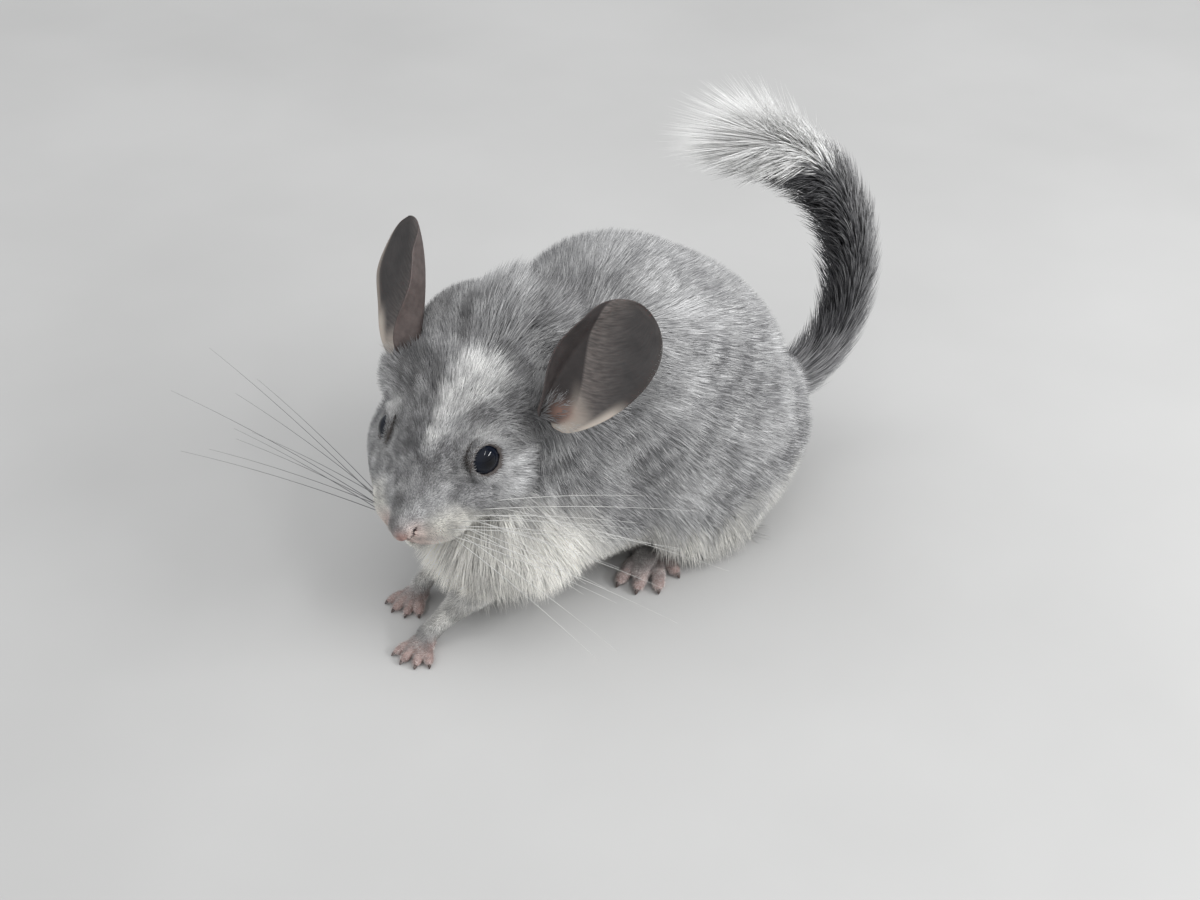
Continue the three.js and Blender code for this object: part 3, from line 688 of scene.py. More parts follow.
# The share of the nostrils, the lip's cleft and the mouth masks their painted shade.
painted_groove_shade, press = line_share(places)
places = places - normals * press[:, None]
lid = fade(eye_gap(places), 6.4, 7.4)
skin_paint = skin_material()
skin = mesh_object("skin", places, triangles, skin_paint,
                   {**markings(places, normals), "lid": lid, "painted_groove_shade": smooth(painted_groove_shade, 0.15, 0.6)})
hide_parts("torso", "neck", "head", "haunch_left", "haunch_right", "foreleg_left", "foreleg_right",
            "forepaw_left", "forepaw_right", "hind_foot_left", "hind_foot_right")


# Coat: where each hair's rings and tip are along it, and how wide it is at each ring
COAT_FORM = ((0.0, 1.0), (1.0,))
TAIL_FORM = ((0.0, 0.2, 0.45, 0.72, 1.0), (0.6, 1.0, 0.85, 0.55))
PATCH = 0.0014  # half the size of a hair's patch on the unwrap


def on_unwrap(across, along):
    """Places on the unwrap, from shares of its width and height."""
    return 0.02 + 0.96 * np.stack([across, along], 1)


def hair_faces(rings):
    """Faces of one closed three-sided hair: a cap at its root, its sides and its tip."""
    faces = [(0, 2, 1)]
    for a, b, above, ahead in grid_faces(rings, 3):
        faces += [(a, b, ahead), (b, above, ahead)]
    last = (rings - 1) * 3
    return np.array(faces + [(last + k, last + (k + 1) % 3, last + 3) for k in range(3)])


def hair_mesh(name, lines, form, ups, width, shares, unwrap, paint, roundness=0.25):
    """Closed hairs along the given lines; ups are the outward sides they are lit from."""
    steps, profile = form
    places, normals, bake = [], [], []
    for i, up in enumerate(ups[:-1]):
        ahead = unit(lines[i + 1] - lines[i])
        across = unit(np.cross(ahead, up))
        ridge = np.cross(across, ahead)
        half = (width * profile[i] / 2)[:, None]
        for x, y in ((1, 0), (-1, 0), (0, 0.9)):
            places.append(lines[i] + across * half * x + ridge * half * y)
            normals.append(unit(up + roundness * (across * x + ridge * y)))
            bake.append(unwrap + PATCH * np.array([y - x, 2 * steps[i] - 1]))
    places.append(lines[-1])
    normals.append(ups[-1])
    bake.append(unwrap + PATCH * np.array([0, 1]))
    count, per = len(width), len(places)
    faces = ((np.arange(count) * per)[:, None, None] + hair_faces(len(profile))).reshape(-1, 3)
    shares = {key: np.repeat(value, per) for key, value in shares.items()}
    shares["along"] = np.tile(np.append(np.repeat(steps[:-1], 3), 1.0), count)
    places, bake, normals = (np.stack(rows, 1).reshape(count * per, -1) for rows in (places, bake, normals))
    return mesh_object(name, places, faces, paint, shares, bake, normals)


def scatter(places, quads, density):
    """Seeded random roots on the skin: the corners each lies between and what they count for."""
    a, b, c, d = (places[quads[:, k]] for k in range(4))
    area = 0.5 * np.linalg.norm(np.cross(c - a, d - b), axis=1)
    wanted = area * density[quads].mean(1)
    whole = np.floor(wanted + random.random(len(wanted))).astype(int)
    corners = quads[np.repeat(np.arange(len(quads)), whole)]
    u, v = random.random((2, len(corners)))
    return corners, np.stack([(1 - u) * (1 - v), u * (1 - v), u * v, (1 - u) * v], 1)


def nearest_clump(root, spacing):
    """For each hair the leader of the lock it belongs to."""
    cells = np.floor(root / spacing + random.random(3)).astype(np.int64)
    key = (cells * np.array([92821, 68917, 283923])).sum(1)
    _, leaders = np.unique(key, return_index=True)
    tree = KDTree(len(leaders))
    for number, leader in enumerate(leaders):
        tree.insert(root[leader], number)
    tree.balance()
    return np.array([leaders[tree.find(place)[1]] for place in root])


def unrolled(points, is_head):
    """The coat's own unwrap: round the spine and along it, or round the head's axis and along it."""
    side, front, high = head_place(points).T
    x, y, z = points.T
    body = np.stack([np.arctan2(x, z - 42) / (2 * math.pi) + 0.5, (y + 110) / 200], 1)
    head = np.stack([np.arctan2(side, high + 6) / (2 * math.pi) + 0.5, (front + 60) / 95], 1)
    return np.where(is_head[:, None], head, body)


def fill_square(places):
    low, high = places.min(0), places.max(0)
    return on_unwrap(*((places - low) / np.maximum(high - low, 1e-6)).T)


def leg_share(points):
    trunk, head = trunk_distance(points), head_distance(points)
    body = np.minimum(trunk, head) + fur_depth(points, trunk, head)
    share = np.zeros(len(points))
    low = np.flatnonzero(points[:, 2] < LEGS_TOP)
    share[low] = smooth(body[low] - leg_distance(points[low]), -0.5, 1.5)
    return share


def hair_sizes(points, legs):
    """The coat's depth and its hairs' length and width, longer on the chest and along the lower edge."""
    _, y, z = points.T
    fur = fur_depth(points, trunk_distance(points), head_distance(points))
    heads = head_share(points)
    body = (1 - legs) * (1 - heads)
    nape = fade(np.abs(heads - 0.5), 0.1, 0.5) * smooth(z, 74, 90)
    under = fade(z, 12, 24) * smooth(y, -40, -25) * fade(y, 8, 24) * body
    depth = mix(fur, mix(0.6, 2.4, smooth(z, 5, 24)), legs) + NAPE_FUR * nape + UNDER_FUR * under
    chest = smooth(-y, 32, 50) * fade(z, 34, 46)
    hem = fade(z, 12, 30) * fade(y, 10, 32)
    length = np.maximum(depth * 1.5, 1.3) * mix(1, 1.8, np.maximum(chest, hem) * body)
    return depth, length, np.clip(0.2 + 0.019 * length, *HAIR_WIDTHS)


def hair_density(points, legs, length, width):
    """Hairs to a square millimetre, none on the nose, in the eyes and in the ears' cups."""
    _, y, z = points.T
    _, front, high = head_place(points).T
    cover = mix(mix(COAT_COVER["body"], COAT_COVER["head"], head_share(points)), COAT_COVER["legs"], legs)
    cover = cover * mix(1, 1.5, smooth(-y, 40, 55) * fade(z, 36, 48) * (1 - legs))
    cover = cover * smooth(eye_gap(points), 6.0, 6.5) * (line_share(points)[0] < 0.3)
    cover = cover * (1 - smooth(front, 28.8, 29.6) * smooth(high, -9.5, -8))
    cover = cover * mix(1, 0.3, smooth(4.5 - z, 0, 2)) * smooth(z, 0.6, 1.4)
    for _, root, _, faces in EARS.values():
        away = points - on_head(*root)
        cover = cover * (1 - (np.linalg.norm(away, axis=1) < 9.5) * (away @ along_head(*faces) > -1.0))
    return cover / (length * width)


def make_coat(places, quads, paint):
    """Hairs that rise from the skin and lie over it, drawn together at their tips in small locks."""
    legs = leg_share(places)
    depth, length, width = hair_sizes(places, legs)
    normal = gradient(skin_distance, places, 0.5)
    corners, weights = scatter(places, quads, hair_density(places, legs, length, width))

    def pick(values):
        return np.einsum("ij,ij...->i...", weights, values[corners])

    shares = {key: pick(value) for key, value in markings(places, normal).items()}
    mottle = 0.7 * (noise(places, 2.2, 41) - 0.5) + 0.4 * (noise(places, 9, 42) - 0.5)
    is_head = pick(head_share(places)) > 0.5
    unwrap = unrolled(pick(places), is_head)
    root, normal, lie, depth, length, width, mottle = map(
        pick, (places, normal, coat_lie(places, normal), depth, length, width, mottle))
    count = len(root)
    length = length * random.uniform(0.8, 1.2, count)
    lean = np.arcsin(np.clip(depth / length * random.uniform(0.8, 1.12, count), 0.15, 0.85))
    lie = unit(lie + np.cross(normal, lie) * random.normal(0, 0.2, (count, 1)))
    shares["tone"] = np.clip(0.5 + random.normal(0, 0.2, count) + mottle, 0, 1)
    tick = (random.random(count) < 0.5) * random.uniform(0.4, 1.0, count)
    shares["tick"] = tick * (1 - shares["cream"]) * (1 - shares["blaze"])
    start = root - normal * 0.5
    tip = root + lie * (length * np.cos(lean))[:, None] + normal * (length * np.sin(lean))[:, None]
    tip[:, 2] = np.maximum(tip[:, 2], FLOOR_GAP)
    for part, chosen in (("body", ~is_head), ("head", is_head)):
        chosen = np.flatnonzero(chosen)
        chosen = chosen[np.argsort(unwrap[chosen, 1])]
        for number, group in enumerate(np.array_split(chosen, COAT_PIECES[part])):
            clump = nearest_clump(root[group], LOCK_SPACING[part])
            pull = random.uniform(0, 2 * LOCK_PULL[part], (len(group), 1))
            lines = [start[group], mix(tip[group], tip[group][clump], pull)]
            piece = hair_mesh(
                f"coat_{part}_{number + 1}", lines, COAT_FORM, [normal[group]] * 2, width[group],
                {key: value[group] for key, value in shares.items()}, fill_square(unwrap[group]), paint)


# Each ear's side, its root and the ways it runs and faces, in the head's own measures
EARS = {
    "ear_left": (1, (31.5, -21, 7), (0.48, -0.78, 0.36), (0.36, 0.35, 0.86)),
    "ear_right": (-1, (-20.5, -27, 4), (-0.38, -0.86, 0.25), (-0.62, 0.3, 0.72)),
}
coat_paint = coat_material()
make_coat(rough_places, quads, coat_paint)


# Eyes
def make_eye(name, side, paint):
    """A glossy ball with a faint iris under a clear bulge."""
    around, rows = 48, 33
    t = np.repeat(np.linspace(0, math.pi, rows), around)
    p = np.tile(2 * math.pi * np.arange(around) / around, rows)
    way = eye_way(side)
    other = unit(np.cross(way, UP))
    ball = np.stack([np.cos(t), np.sin(t) * np.cos(p), np.sin(t) * np.sin(p)], 1)
    bulge = EYE_RADIUS * (1 + 0.02 * np.exp(-(t / 0.6) ** 2))
    places = eye_at(side) + bulge[:, None] * ball @ np.stack([way, other, np.cross(way, other)])
    middle = np.exp(-(t / 0.55) ** 2)
    eye = mesh_object(f"{name}_ball", places, grid_faces(rows, around)[:, ::-1], paint, {"middle": middle})
    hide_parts(name)


paint = material("eye_glossy", Roughness=0.03, Specular_IOR_Level=0.1, Coat_Weight=0.28, Coat_Roughness=0.02)
eye_paint = paint.coloured(paint.blend(paint.share("middle"), (0.006, 0.009, 0.018), (0.001, 0.001, 0.002)))
for name, side in SIDES:
    make_eye(f"eye_{name}", side, eye_paint)

# Ears: thin cups folded along a crease near their inner edge
EAR_ROWS, EAR_COLUMNS = 57, 49
EAR_HEIGHTS = np.sin(np.linspace(0, 0.985, EAR_ROWS) * math.pi / 2)
EAR_ACROSS = np.linspace(-1, 1, EAR_COLUMNS)
EAR_T, EAR_S = np.meshgrid(EAR_HEIGHTS, EAR_ACROSS, indexing="ij")
# How far outside the crease, which runs from the root's outer side to the tip's inner, each place lies
EAR_PAST = EAR_S - (0.72 - 1.95 * EAR_T)


def ear_outline(t):
    """Half the ear's width at each height."""
    widest = 0.58
    below = mix(0.3, 1, np.sqrt(1 - (1 - np.minimum(t / widest, 1)) ** 2))
    above = np.sqrt(np.maximum(1 - (np.maximum(t - widest, 0) / (1 - widest)) ** 2, 0))
    return EAR_WIDTH / 2 * below * above


def ear_row(t):
    """How far outward and forward the folded sheet runs at a height."""
    crease = mix(0.12, 0.45, t)
    fold = -58 * smooth(-EAR_ACROSS, crease, crease + 0.25) + 30 * smooth(EAR_ACROSS, -0.1, 1)
    bend = np.radians(fold * (1 + 0.7 * fade(t, 0, 0.5)) * mix(1, 0.3, smooth(t, 0.65, 1)))
    step = 2 / (EAR_COLUMNS - 1) * np.where(EAR_ACROSS < 0, mix(1.05, 0.75, t), 0.95)
    run = np.cumsum(np.stack([np.cos(bend), np.sin(bend)]) * step, axis=1)
    run = (run - run[:, EAR_COLUMNS // 2, None]) * ear_outline(t)
    return run[0], run[1] - 6 * t * (1 - t)


def ear_shares(side):
    """The ear's markings and the places of its painted shade, by height t, place across s and how far past
    the crease each place lies.
    """
    t, s, past = EAR_T, EAR_S, EAR_PAST
    rim = np.maximum(smooth(s, 0.78, 0.98) * smooth(t, 0.3, 0.5), smooth(t, 0.93, 0.99))
    root = np.maximum(0.85 * fade(t + 0.12 * past, 0.12, 0.36), fade(t, 0.3, 0.5) * smooth(s, 0.78, 0.97))
    pale_edge = smooth(s, 0.9, 1) * smooth(t, 0.2, 0.4) * (side < 0)
    root = np.maximum(root * smooth(past, -0.25, 0.1), 0.7 * pale_edge)
    notch = np.exp(-((t - 0.1) / 0.07) ** 2 - ((s - 0.3) / 0.3) ** 2)
    fan = t - 0.1 * past - 0.1 * past ** 2
    shares = {"fan": fan, "past": past, "rim": rim, "notch": notch, "root": root}
    shares = {key: np.tile(value.ravel(), 2) for key, value in shares.items()}
    return {**shares, "inner": np.repeat([1.0, 0.0], t.size)}


def make_ear(name, side, root, along, faces):
    """The ear's sheet; gives back its inner side and the way it faces."""
    axis = along_head(*along)
    facing = square_to(axis, along_head(*faces))
    outward = np.cross(axis, facing) * side
    out, ahead = np.stack([ear_row(t) for t in EAR_HEIGHTS], 1)[..., None]
    inner = on_head(*root) + axis * (EAR_T[..., None] * EAR_LENGTH - 6) + outward * out + facing * ahead
    normal = unit(np.cross(np.gradient(inner, axis=0), np.gradient(inner, axis=1))) * side
    normal = np.where((normal @ facing).mean() < 0, -normal, normal)
    rim = np.maximum(np.abs(EAR_S), smooth(EAR_T, 0.9, 1))
    half = EAR_THICKNESS / 2 * mix(1, 0.35, smooth(rim, 0.7, 1))[..., None]
    places = np.concatenate([inner + normal * half, inner - normal * half]).reshape(-1, 3)
    count = EAR_T.size
    number = np.arange(count).reshape(EAR_T.shape)
    ring = np.concatenate([number[:, 0], number[-1, 1:], number[-2::-1, -1], number[0, -2:0:-1]])
    following = np.roll(ring, -1)
    sheet = grid_faces(EAR_ROWS, EAR_COLUMNS, closed=False)
    border = np.stack([ring, following, following + count, ring + count], 1)
    quads = np.concatenate([sheet, sheet[:, ::-1] + count, border])
    ear = mesh_object(name + "_sheet", places, quads, ear_paint, ear_shares(side))
    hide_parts(name)
    return inner, normal


def ear_material():
    """Brown-grey skin with fine pale hairs fanning from the crease, a dark rim and a cream root, with
    painted shade on the wall before the crease and toward the plate's rim.
    """
    paint = material("ear_leather", Roughness=0.6, Subsurface_Weight=0.04, Subsurface_Scale=0.002,
                     Subsurface_Radius=(1.0, 0.35, 0.25))
    past = paint.share("past")
    combine = paint.new("ShaderNodeCombineXYZ")
    paint.connect(paint.share("fan"), combine.inputs["X"])
    paint.connect(paint.share("past", 0.05), combine.inputs["Y"])
    streak = paint.noise(75, 5, combine.outputs["Vector"])
    hairs = paint.ramp(streak, (0.36, (0.07, 0.06, 0.057)), (0.7, (0.18, 0.155, 0.145)))
    plain = paint.grain(240, 4, (0.055, 0.049, 0.049), (0.1, 0.09, 0.088))
    # The wall before the crease: its bare skin, painted darker still as the shade of the fold.
    wall_in_painted_shade = paint.grain(260, 4, (0.022, 0.018, 0.018), (0.038, 0.031, 0.03))
    outside = paint.grain(420, 5, (0.065, 0.05, 0.047), (0.105, 0.083, 0.078))
    inside = paint.blend(paint.ramp(past, (0.3, (0.9, 0.9, 0.9)), (1.0, (0.2, 0.2, 0.2))), plain, hairs)
    # Painted shade: the inner plate darkens from the crease toward its rim.
    shade = paint.ramp(past, (0.05, (1.05, 1.06, 1.06)), (1.0, (0.48, 0.49, 0.5)))
    inside = paint.blend(1.0, inside, shade, "MULTIPLY")
    inside = paint.blend(paint.ramp(past, (0.0, NO), (0.06, FULL)), wall_in_painted_shade, inside)
    paint.bump(streak, 0.2, 0.0003)
    return paint.coloured(paint.layers(
        outside, ("inner", None, inside), ("rim", 0.8, (0.04, 0.034, 0.032)),
        ("root", None, (0.46, 0.41, 0.36)), ("notch", None, (0.24, 0.135, 0.105))))


def ear_hairs(name, inner, normal):
    """Fine pale hairs on the inner side, fanning from the crease, and a cream tuft at the root."""
    row = random.random(EAR_HAIRS) ** 1.3 * 0.8 * (EAR_ROWS - 2)
    column = random.random(EAR_HAIRS) * (EAR_COLUMNS - 2)
    cell = (row.astype(int), column.astype(int))
    down, right = np.gradient(inner, axis=0)[cell], np.gradient(inner, axis=1)[cell]
    root = inner[cell] + down * (row % 1)[:, None] + right * (column % 1)[:, None]
    up, high, across = normal[cell], EAR_T[cell], EAR_S[cell]
    tuft = fade(high, 0.07, 0.13) * smooth(across, 0.4, 0.6)
    keep = ((EAR_PAST[cell] > -0.05) & (np.abs(across) < 0.85) & (high > 0.14)) | (tuft > 0.3)
    way = unit(unit(right) + unit(down) * mix(0.35, 1.6, tuft)[:, None])
    way = unit(way + np.cross(up, way) * random.normal(0, 0.15, (EAR_HAIRS, 1)))
    length = mix(2.0, 4.0, tuft) * random.uniform(0.7, 1.2, EAR_HAIRS)
    tip = root + length[:, None] * (way + up * mix(0.12, 0.3, tuft)[:, None])
    shares = {"cream": mix(0.35, 0.7, tuft), "dark": mix(0.5, 0.25, tuft),
              "tone": np.clip(random.normal(0.35, 0.1, EAR_HAIRS), 0, 1)}
    shares = {key: value[keep] for key, value in shares.items()}
    unwrap = on_unwrap(column / EAR_COLUMNS, row / EAR_ROWS)[keep]
    hairs = hair_mesh(name + "_hair", [root[keep], tip[keep]], COAT_FORM, [up[keep]] * 2,
                      np.full(keep.sum(), EAR_HAIR_WIDTH), shares, unwrap, coat_paint)


ear_paint = ear_material()
for name, form in EARS.items():
    ear_hairs(name, *make_ear(name, *form))


# Whiskers
def cap_faces(first, sides, centre):
    """Quads that close a ring of points round its centre."""
    k = np.arange(0, sides, 2)
    return np.stack([first + k, first + k + 1, first + (k + 2) % sides, np.full(len(k), centre)], 1)


def ring_places(line, radius, across, third, sides):
    """Rings of points round a line, row by row."""
    angles = 2 * math.pi * np.arange(sides)[:, None] / sides
    return (line[:, None] + radius[:, None, None] * (across[:, None] * np.cos(angles)
                                                     + third[:, None] * np.sin(angles))).reshape(-1, 3)


def tube_mesh(name, lines, radii, sides, paint):
    """Tapered tubes along the given lines, closed at their ends."""
    places, faces, first = [], [], 0
    for line, radius in zip(lines, radii):
        ahead = unit(np.gradient(line, axis=0))
        across = unit(np.cross(ahead, [0.3, 0.2, 0.9]))
        places += [ring_places(line, radius, across, np.cross(ahead, across), sides), line[[0, -1]]]
        count = len(line) * sides
        faces += [first + part for part in (
            grid_faces(len(line), sides), cap_faces(0, sides, count)[:, ::-1],
            cap_faces(count - sides, sides, count + 1))]
        first += count + 2
    return mesh_object(name, np.concatenate(places), np.concatenate(faces), paint)


# How many stand in a row, the ways the fan's upper and lower ones point, and their colour
WHISKERS = {
    "left": (6, (0.75, 0.62, 0.2), (1.03, 0.25, -0.24), (0.85, 0.85, 0.83)),
    "right": (3, (-0.94, -0.05, 0.42), (-0.95, -0.36, 0.05), (0.16, 0.16, 0.165)),
}


def whisker_lines(side, columns, upper, lower):
    """Long hairs from the whisker pad, nearly straight, spread as a fan and sagging a little."""
    lines = []
    along = np.linspace(0, 1, 14)[:, None]
    for row in range(3):
        for column in range(columns):
            fan = mix(np.array(upper), np.array(lower), (row + 0.6 * random.random()) / 3)
            way = unit(fan + np.array([0, 0.09 * (column - 2.5), 0]) + random.normal(0, 0.06, 3))
            length = random.uniform(*WHISKER_LENGTHS) * mix(1, 0.9, row / 2)
            start = on_muzzle(side * (9.5 - row * 0.5), 20.5 - column * 1.7, -6.5 - row * 2.4 - 0.3 * column)
            lines.append(start + length * (way * along - UP * WHISKER_SAG * along ** 2))
    return lines, [mix(*WHISKER_RADII, along.ravel())] * len(lines)


for name, side in SIDES:
    columns, upper, lower, colour = WHISKERS[name]
    paint = material(f"whisker_{name}", Roughness=0.35, Transmission_Weight=0.2)
    dim = tuple(0.8 * value for value in colour)
    whisker_paint = paint.coloured(paint.grain(300, 2, dim, colour))
    whiskers = tube_mesh(f"whiskers_{name}", *whisker_lines(side, columns, upper, lower), 6, whisker_paint)
    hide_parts(f"whisker_pad_{name}")

# Claws
CLAW_RADII = np.array([0.3, 0.45, 0.42, 0.34, 0.22, 0.06])  # from root to tip, as shares of the toe's
toes = [(paw, toe) for paw in PAWS for toe in paw[3]]
paint = material("claw_horn", Roughness=0.3)
claw_paint = paint.coloured(paint.grain(900, 3, (0.03, 0.022, 0.02), (0.1, 0.07, 0.062)))
claws = tube_mesh("claws", [smooth_path(toe_line(paw, toe)[2:], 6, 0.35, 1)[0] for paw, toe in toes],
                  [paw[-1] * CLAW_RADII for paw, _ in toes], 8, claw_paint)

# Tail
TAIL_PLACES = [(3, 60, 28), (3, 76, 26), (3, 90, 31), (3, 99, 43), (3, 101, 60), (3, 96, 80), (3, 83, 100),
               (3, 67, 114), (3, 48, 124), (3, 16, 134)]
TAIL_ROWS = 240
FAN_SPREAD = {"up": 42, "side": 30, "down": 14}  # degrees from the tail's own way
tail_line, tail_length = smooth_path(TAIL_PLACES, TAIL_ROWS)
tail_ahead = unit(np.gradient(tail_line, axis=0))
tail_side = np.tile([1.0, 0, 0], (TAIL_ROWS, 1))
tail_back = unit(np.cross(tail_ahead, tail_side))  # toward the outside of the curl
tail_back *= np.sign((tail_back * np.array([0, 1.0, -0.3])).sum(1))[:, None]


def tail_at(t, table):
    where = np.clip(t, 0, 1) * (TAIL_ROWS - 1)
    return np.stack([np.interp(where, np.arange(TAIL_ROWS), table[:, k]) for k in range(3)], 1)


def tail_out(t, angle):
    """The way out of the tail's core at each angle from the curl's outside."""
    back, side = tail_at(t, tail_back), tail_at(t, tail_side)
    return unit(back * np.cos(angle)[:, None] + side * np.sin(angle)[:, None])


def core_radius(t):
    return mix(5.6, 2.2, np.clip(t / TAIL_CORE_END, 0, 1)) * 0.9


def hair_reach(t):
    swell = mix(0.8, 1, smooth(t, 0, 0.4)) + 0.4 * smooth(t, 0.7, 0.9)
    return TAIL_REACH * swell * np.sqrt(np.maximum(1 - 0.75 * np.maximum((t - 0.86) / 0.14, 0) ** 2, 0.05))


def make_tail_core():
    rows, around = 90, 20
    t = np.linspace(0, TAIL_CORE_END, rows)
    middle, back, side = (tail_at(t, table) for table in (tail_line, tail_back, tail_side))
    closing = np.sqrt(np.maximum(1 - np.maximum((t / TAIL_CORE_END - 0.96) / 0.04, 0) ** 2, 0))
    places = ring_places(middle, core_radius(t) * closing, back, side, around)
    faces = np.concatenate([grid_faces(rows, around), cap_faces(0, around, rows * around)[:, ::-1]])
    core = mesh_object("tail_core", np.concatenate([places, middle[:1]]), faces, skin_paint)


def tail_white(t, angle):
    """The white tip begins sooner on the outside of the curl than on its inside."""
    outside = np.cos(angle)
    return smooth(t + 0.06 * np.maximum(outside, 0) - 0.1 * np.maximum(-outside, 0), 0.58, 0.6)


def make_tail_hairs():
    """Long hairs from the tail's core, leaning toward its tip and out to the coat's reach."""
    count = TAIL_HAIRS
    t = random.uniform(-0.01, TAIL_CORE_END, count)
    angle = random.uniform(0, 2 * math.pi, count)
    t = np.where(t > 0.66, t * mix(1, 0.9, random.random(count)), t) * 0.95
    length = random.uniform(*TAIL_HAIR_LENGTHS, count)
    reach = hair_reach(t) * (1 + 0.3 * smooth(-np.cos(angle), 0.2, 1)) * random.uniform(0.45, 1.0, count)
    width = random.uniform(*TAIL_HAIR_WIDTHS, count)
    start = core_radius(np.minimum(t, TAIL_CORE_END * 0.98)) * 0.6
    lines, ups = [], []
    for step in TAIL_FORM[0]:
        here = t + length / tail_length * step
        ahead, out = tail_at(here, tail_ahead), tail_out(here, angle)
        middle = tail_at(here, tail_line) + ahead * (np.maximum(here - 1, 0) * tail_length)[:, None]
        lines.append(middle + out * mix(start, reach, 1.3 * step - 0.3 * step * step)[:, None])
        ups.append(unit(out + ahead * (4 * smooth(here, 0.75, 1.1) * step)[:, None] + 0.35 * UP))
    inner = smooth(-np.cos(angle) + 0.2 * random.normal(0, 1, count), -0.2, 0.3)
    inner = inner * (1 - 0.75 * (random.random(count) < 0.22)) * (1 - 0.7 * fade(t, 0.02, 0.14))
    white = tail_white(t + 0.015 * random.normal(0, 1, count), angle)
    shares = {"dark": inner * (1 - white), "white": white,
              "tone": np.clip(0.5 + random.normal(0, 0.2, count), 0, 1)}
    unwrap = on_unwrap(angle / (2 * math.pi) % 1, np.clip(t, 0, 1))
    hairs = hair_mesh("coat_tail", lines, TAIL_FORM, ups, width, shares, unwrap, tail_paint, 0.6)
    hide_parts("tail_root", "tail_middle")


def make_tip_hairs():
    """The white brush at the tail's end, spread most upward."""
    count = TIP_HAIRS
    t = random.uniform(0.64, TAIL_CORE_END, count)
    angle = random.uniform(0, 2 * math.pi, count)
    way = unit(tail_line[-1] - tail_line[int(0.72 * TAIL_ROWS)])
    out = tail_out(t, angle)
    widest = mix(FAN_SPREAD["side"], FAN_SPREAD["up"], np.clip(np.cos(angle), 0, 1))
    widest = mix(widest, FAN_SPREAD["down"], np.clip(-np.cos(angle), 0, 1))
    opening = np.radians(widest * random.random(count) ** 0.7)
    length = mix(*TIP_HAIR_LENGTHS, opening / math.radians(FAN_SPREAD["up"]))
    length = length * random.uniform(0.55, 1.0, count)
    root = tail_at(t, tail_line) + out * (core_radius(t) * 0.6)[:, None]
    toward = unit(way * np.cos(opening)[:, None] + out * np.sin(opening)[:, None])
    bend = unit(tail_at(t, tail_ahead)) - way
    steps = TAIL_FORM[0]
    lines = [root + length[:, None] * (toward * step + bend * 0.35 * step * (1 - step)) for step in steps]
    ups = [unit(out * 0.3 + way * 0.3 * step + np.array([0.25, -0.2, 1.1])) for step in steps]
    white = tail_white(t + 0.02, angle)
    tone = np.clip(random.normal(0.5, 0.12, count), 0, 1)
    width = random.uniform(*TIP_HAIR_WIDTHS, count)
    hairs = hair_mesh("coat_tail_tip", lines, TAIL_FORM, ups, width,
                      {"dark": (1 - white) * 0.6, "white": white, "tone": tone},
                      on_unwrap(angle / (2 * math.pi) % 1, t), tail_paint, 0.3)
    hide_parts("tail_tip")


def tail_material():
    """Grey hairs, darker inside the curl, and white ones at the tip."""
    paint = material("tail_fur", Roughness=0.6, Specular_IOR_Level=0.3)
    along = paint.share("along")
    grey = paint.ramp(along, (0, (0.1, 0.1, 0.105)), (1, (0.2, 0.2, 0.205)),
                      (0.45, (0.16, 0.16, 0.165)), (0.8, (0.34, 0.34, 0.344)))
    black = paint.ramp(along, (0, (0.015, 0.015, 0.017)), (0.6, (0.04, 0.04, 0.044)),
                       (1, (0.22, 0.22, 0.23)))
    white = paint.ramp(along, (0, (0.9, 0.9, 0.89)), (0.4, (0.95, 0.95, 0.94)))
    colour = paint.layers(grey, ("dark", None, black), ("white", None, white))
    lightness = paint.ramp(paint.share("tone"), (0, (0.6, 0.6, 0.61)), (1, (1.3, 1.3, 1.29)))
    lightness = paint.layers(lightness, ("white", None, (1.0, 1.0, 1.0)))
    return paint.coloured(paint.blend(1.0, colour, lightness, "MULTIPLY"))


tail_paint = tail_material()
make_tail_core()
make_tail_hairs()
make_tip_hairs()


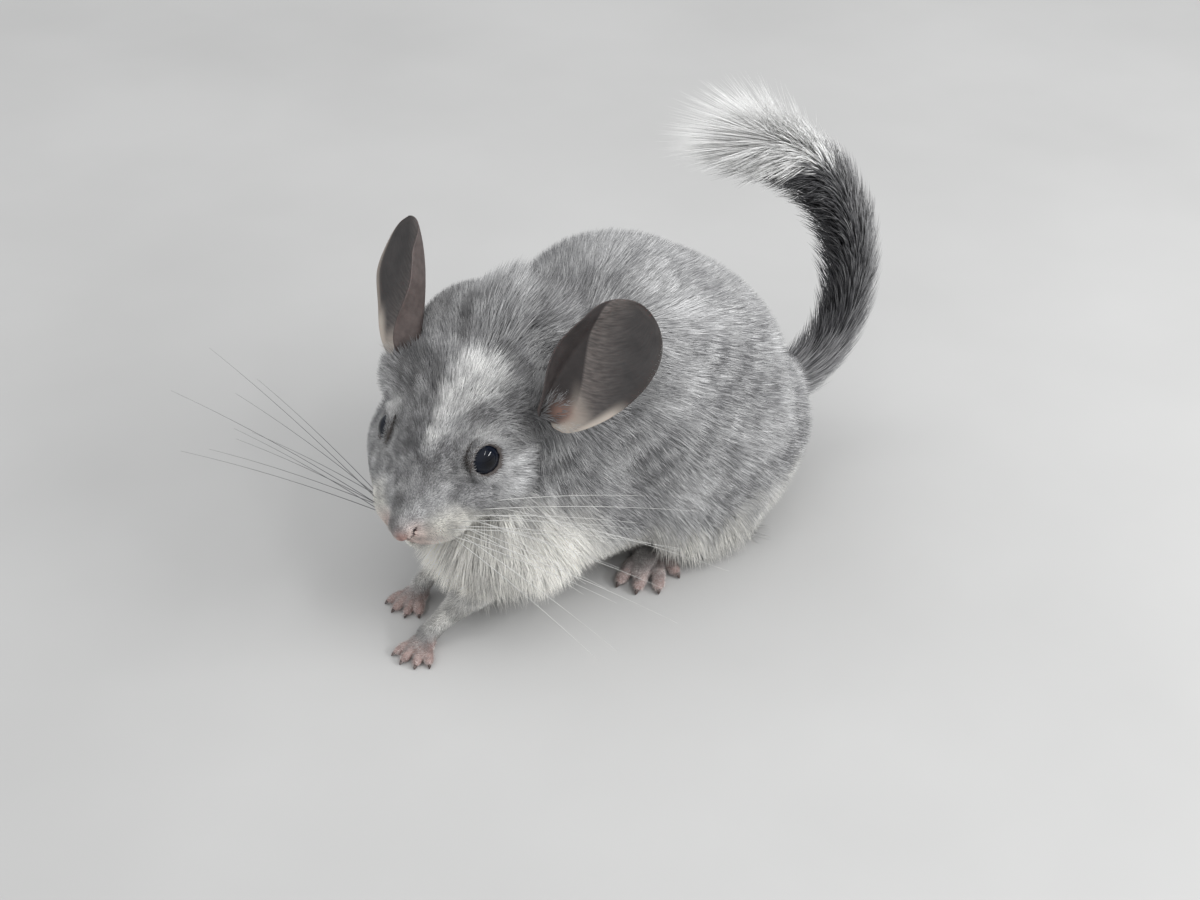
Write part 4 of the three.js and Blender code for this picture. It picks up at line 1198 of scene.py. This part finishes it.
# Camera, at the photograph's angle
TARGET, DISTANCE = np.array([-36.0, 20.0, 0.0]), 590.0
toward_camera = Vector((0.618, -0.537, 0.574)).normalized()
camera_data = bpy.data.cameras.new("camera")
camera_data.lens, camera_data.sensor_width = 50, 36
camera_data.clip_start, camera_data.clip_end = 0.01, 20
camera_place = Vector((TARGET + SHIFT) / 1000) + toward_camera * DISTANCE / 1000
camera_turn = (-toward_camera).to_track_quat("-Z", "Y")
bpy.context.scene.camera = add_object("camera", camera_data, camera_place, camera_turn)

# Floor and light
floor_mesh = bpy.data.meshes.new("floor")
floor_mesh.from_pydata([(-3, -3, 0), (3, -3, 0), (3, 3, 0), (-3, 3, 0)], [], [(0, 1, 2, 3)])
paint = material("floor_pale", Roughness=0.85)
floor_mesh.materials.append(paint.coloured(
    paint.ramp(paint.noise(6, 4), (0.35, (0.49, 0.49, 0.485)), (0.65, (0.53, 0.53, 0.525)))))
floor = add_object("floor", floor_mesh)


def area_light(name, place, rotation, size, power):
    data = bpy.data.lights.new(name, "AREA")
    data.shape, data.energy = "RECTANGLE", power
    data.size, data.size_y = size
    add_object(name, data, place, rotation)


def strip_light(name, start, end, wide, power):
    """A long light between two places, turned to the animal's head."""
    start, end, head = Vector(start), Vector(end), Vector((0.01, -0.07, 0.06))
    back = ((start + end) / 2 - head).normalized()
    across = back.cross((end - start).normalized()).normalized()
    rotation = Matrix((across.cross(back), across, back)).transposed().to_quaternion()
    area_light(name, (start + end) / 2, rotation, ((end - start).length, wide), power)


strip_light("bright_strip", (0.8, 0.2, 0.5), (0.42, 0.66, 0.52), 0.06, 4.0)
strip_light("dim_strip", (0.72, -0.17, 0.74), (0.46, 0.19, 0.9), 0.04, 1.3)
key_place = Vector((-0.3, 0.1, 1.3))
area_light("key", key_place, (Vector((0, 0, 0.04)) - key_place).to_track_quat("-Z", "Y"), (1.2, 1.2), 2.9)
world = bpy.data.worlds.new("studio")
bpy.context.scene.world = world
paint = Paint(world)
toward_light = paint.new("ShaderNodeVectorMath", operation="DOT_PRODUCT")
paint.connect(paint.new("ShaderNodeTexCoord").outputs["Generated"], toward_light.inputs[0])
toward_light.inputs[1].default_value = Vector((0.42, -0.42, 0.8)).normalized()
sky = paint.ramp(toward_light.outputs["Value"], (0.0, (0.57, 0.58, 0.6)), (0.9, (0.95, 0.95, 0.95)))
paint.coloured(sky)
bpy.context.scene.view_settings.view_transform = "Standard"
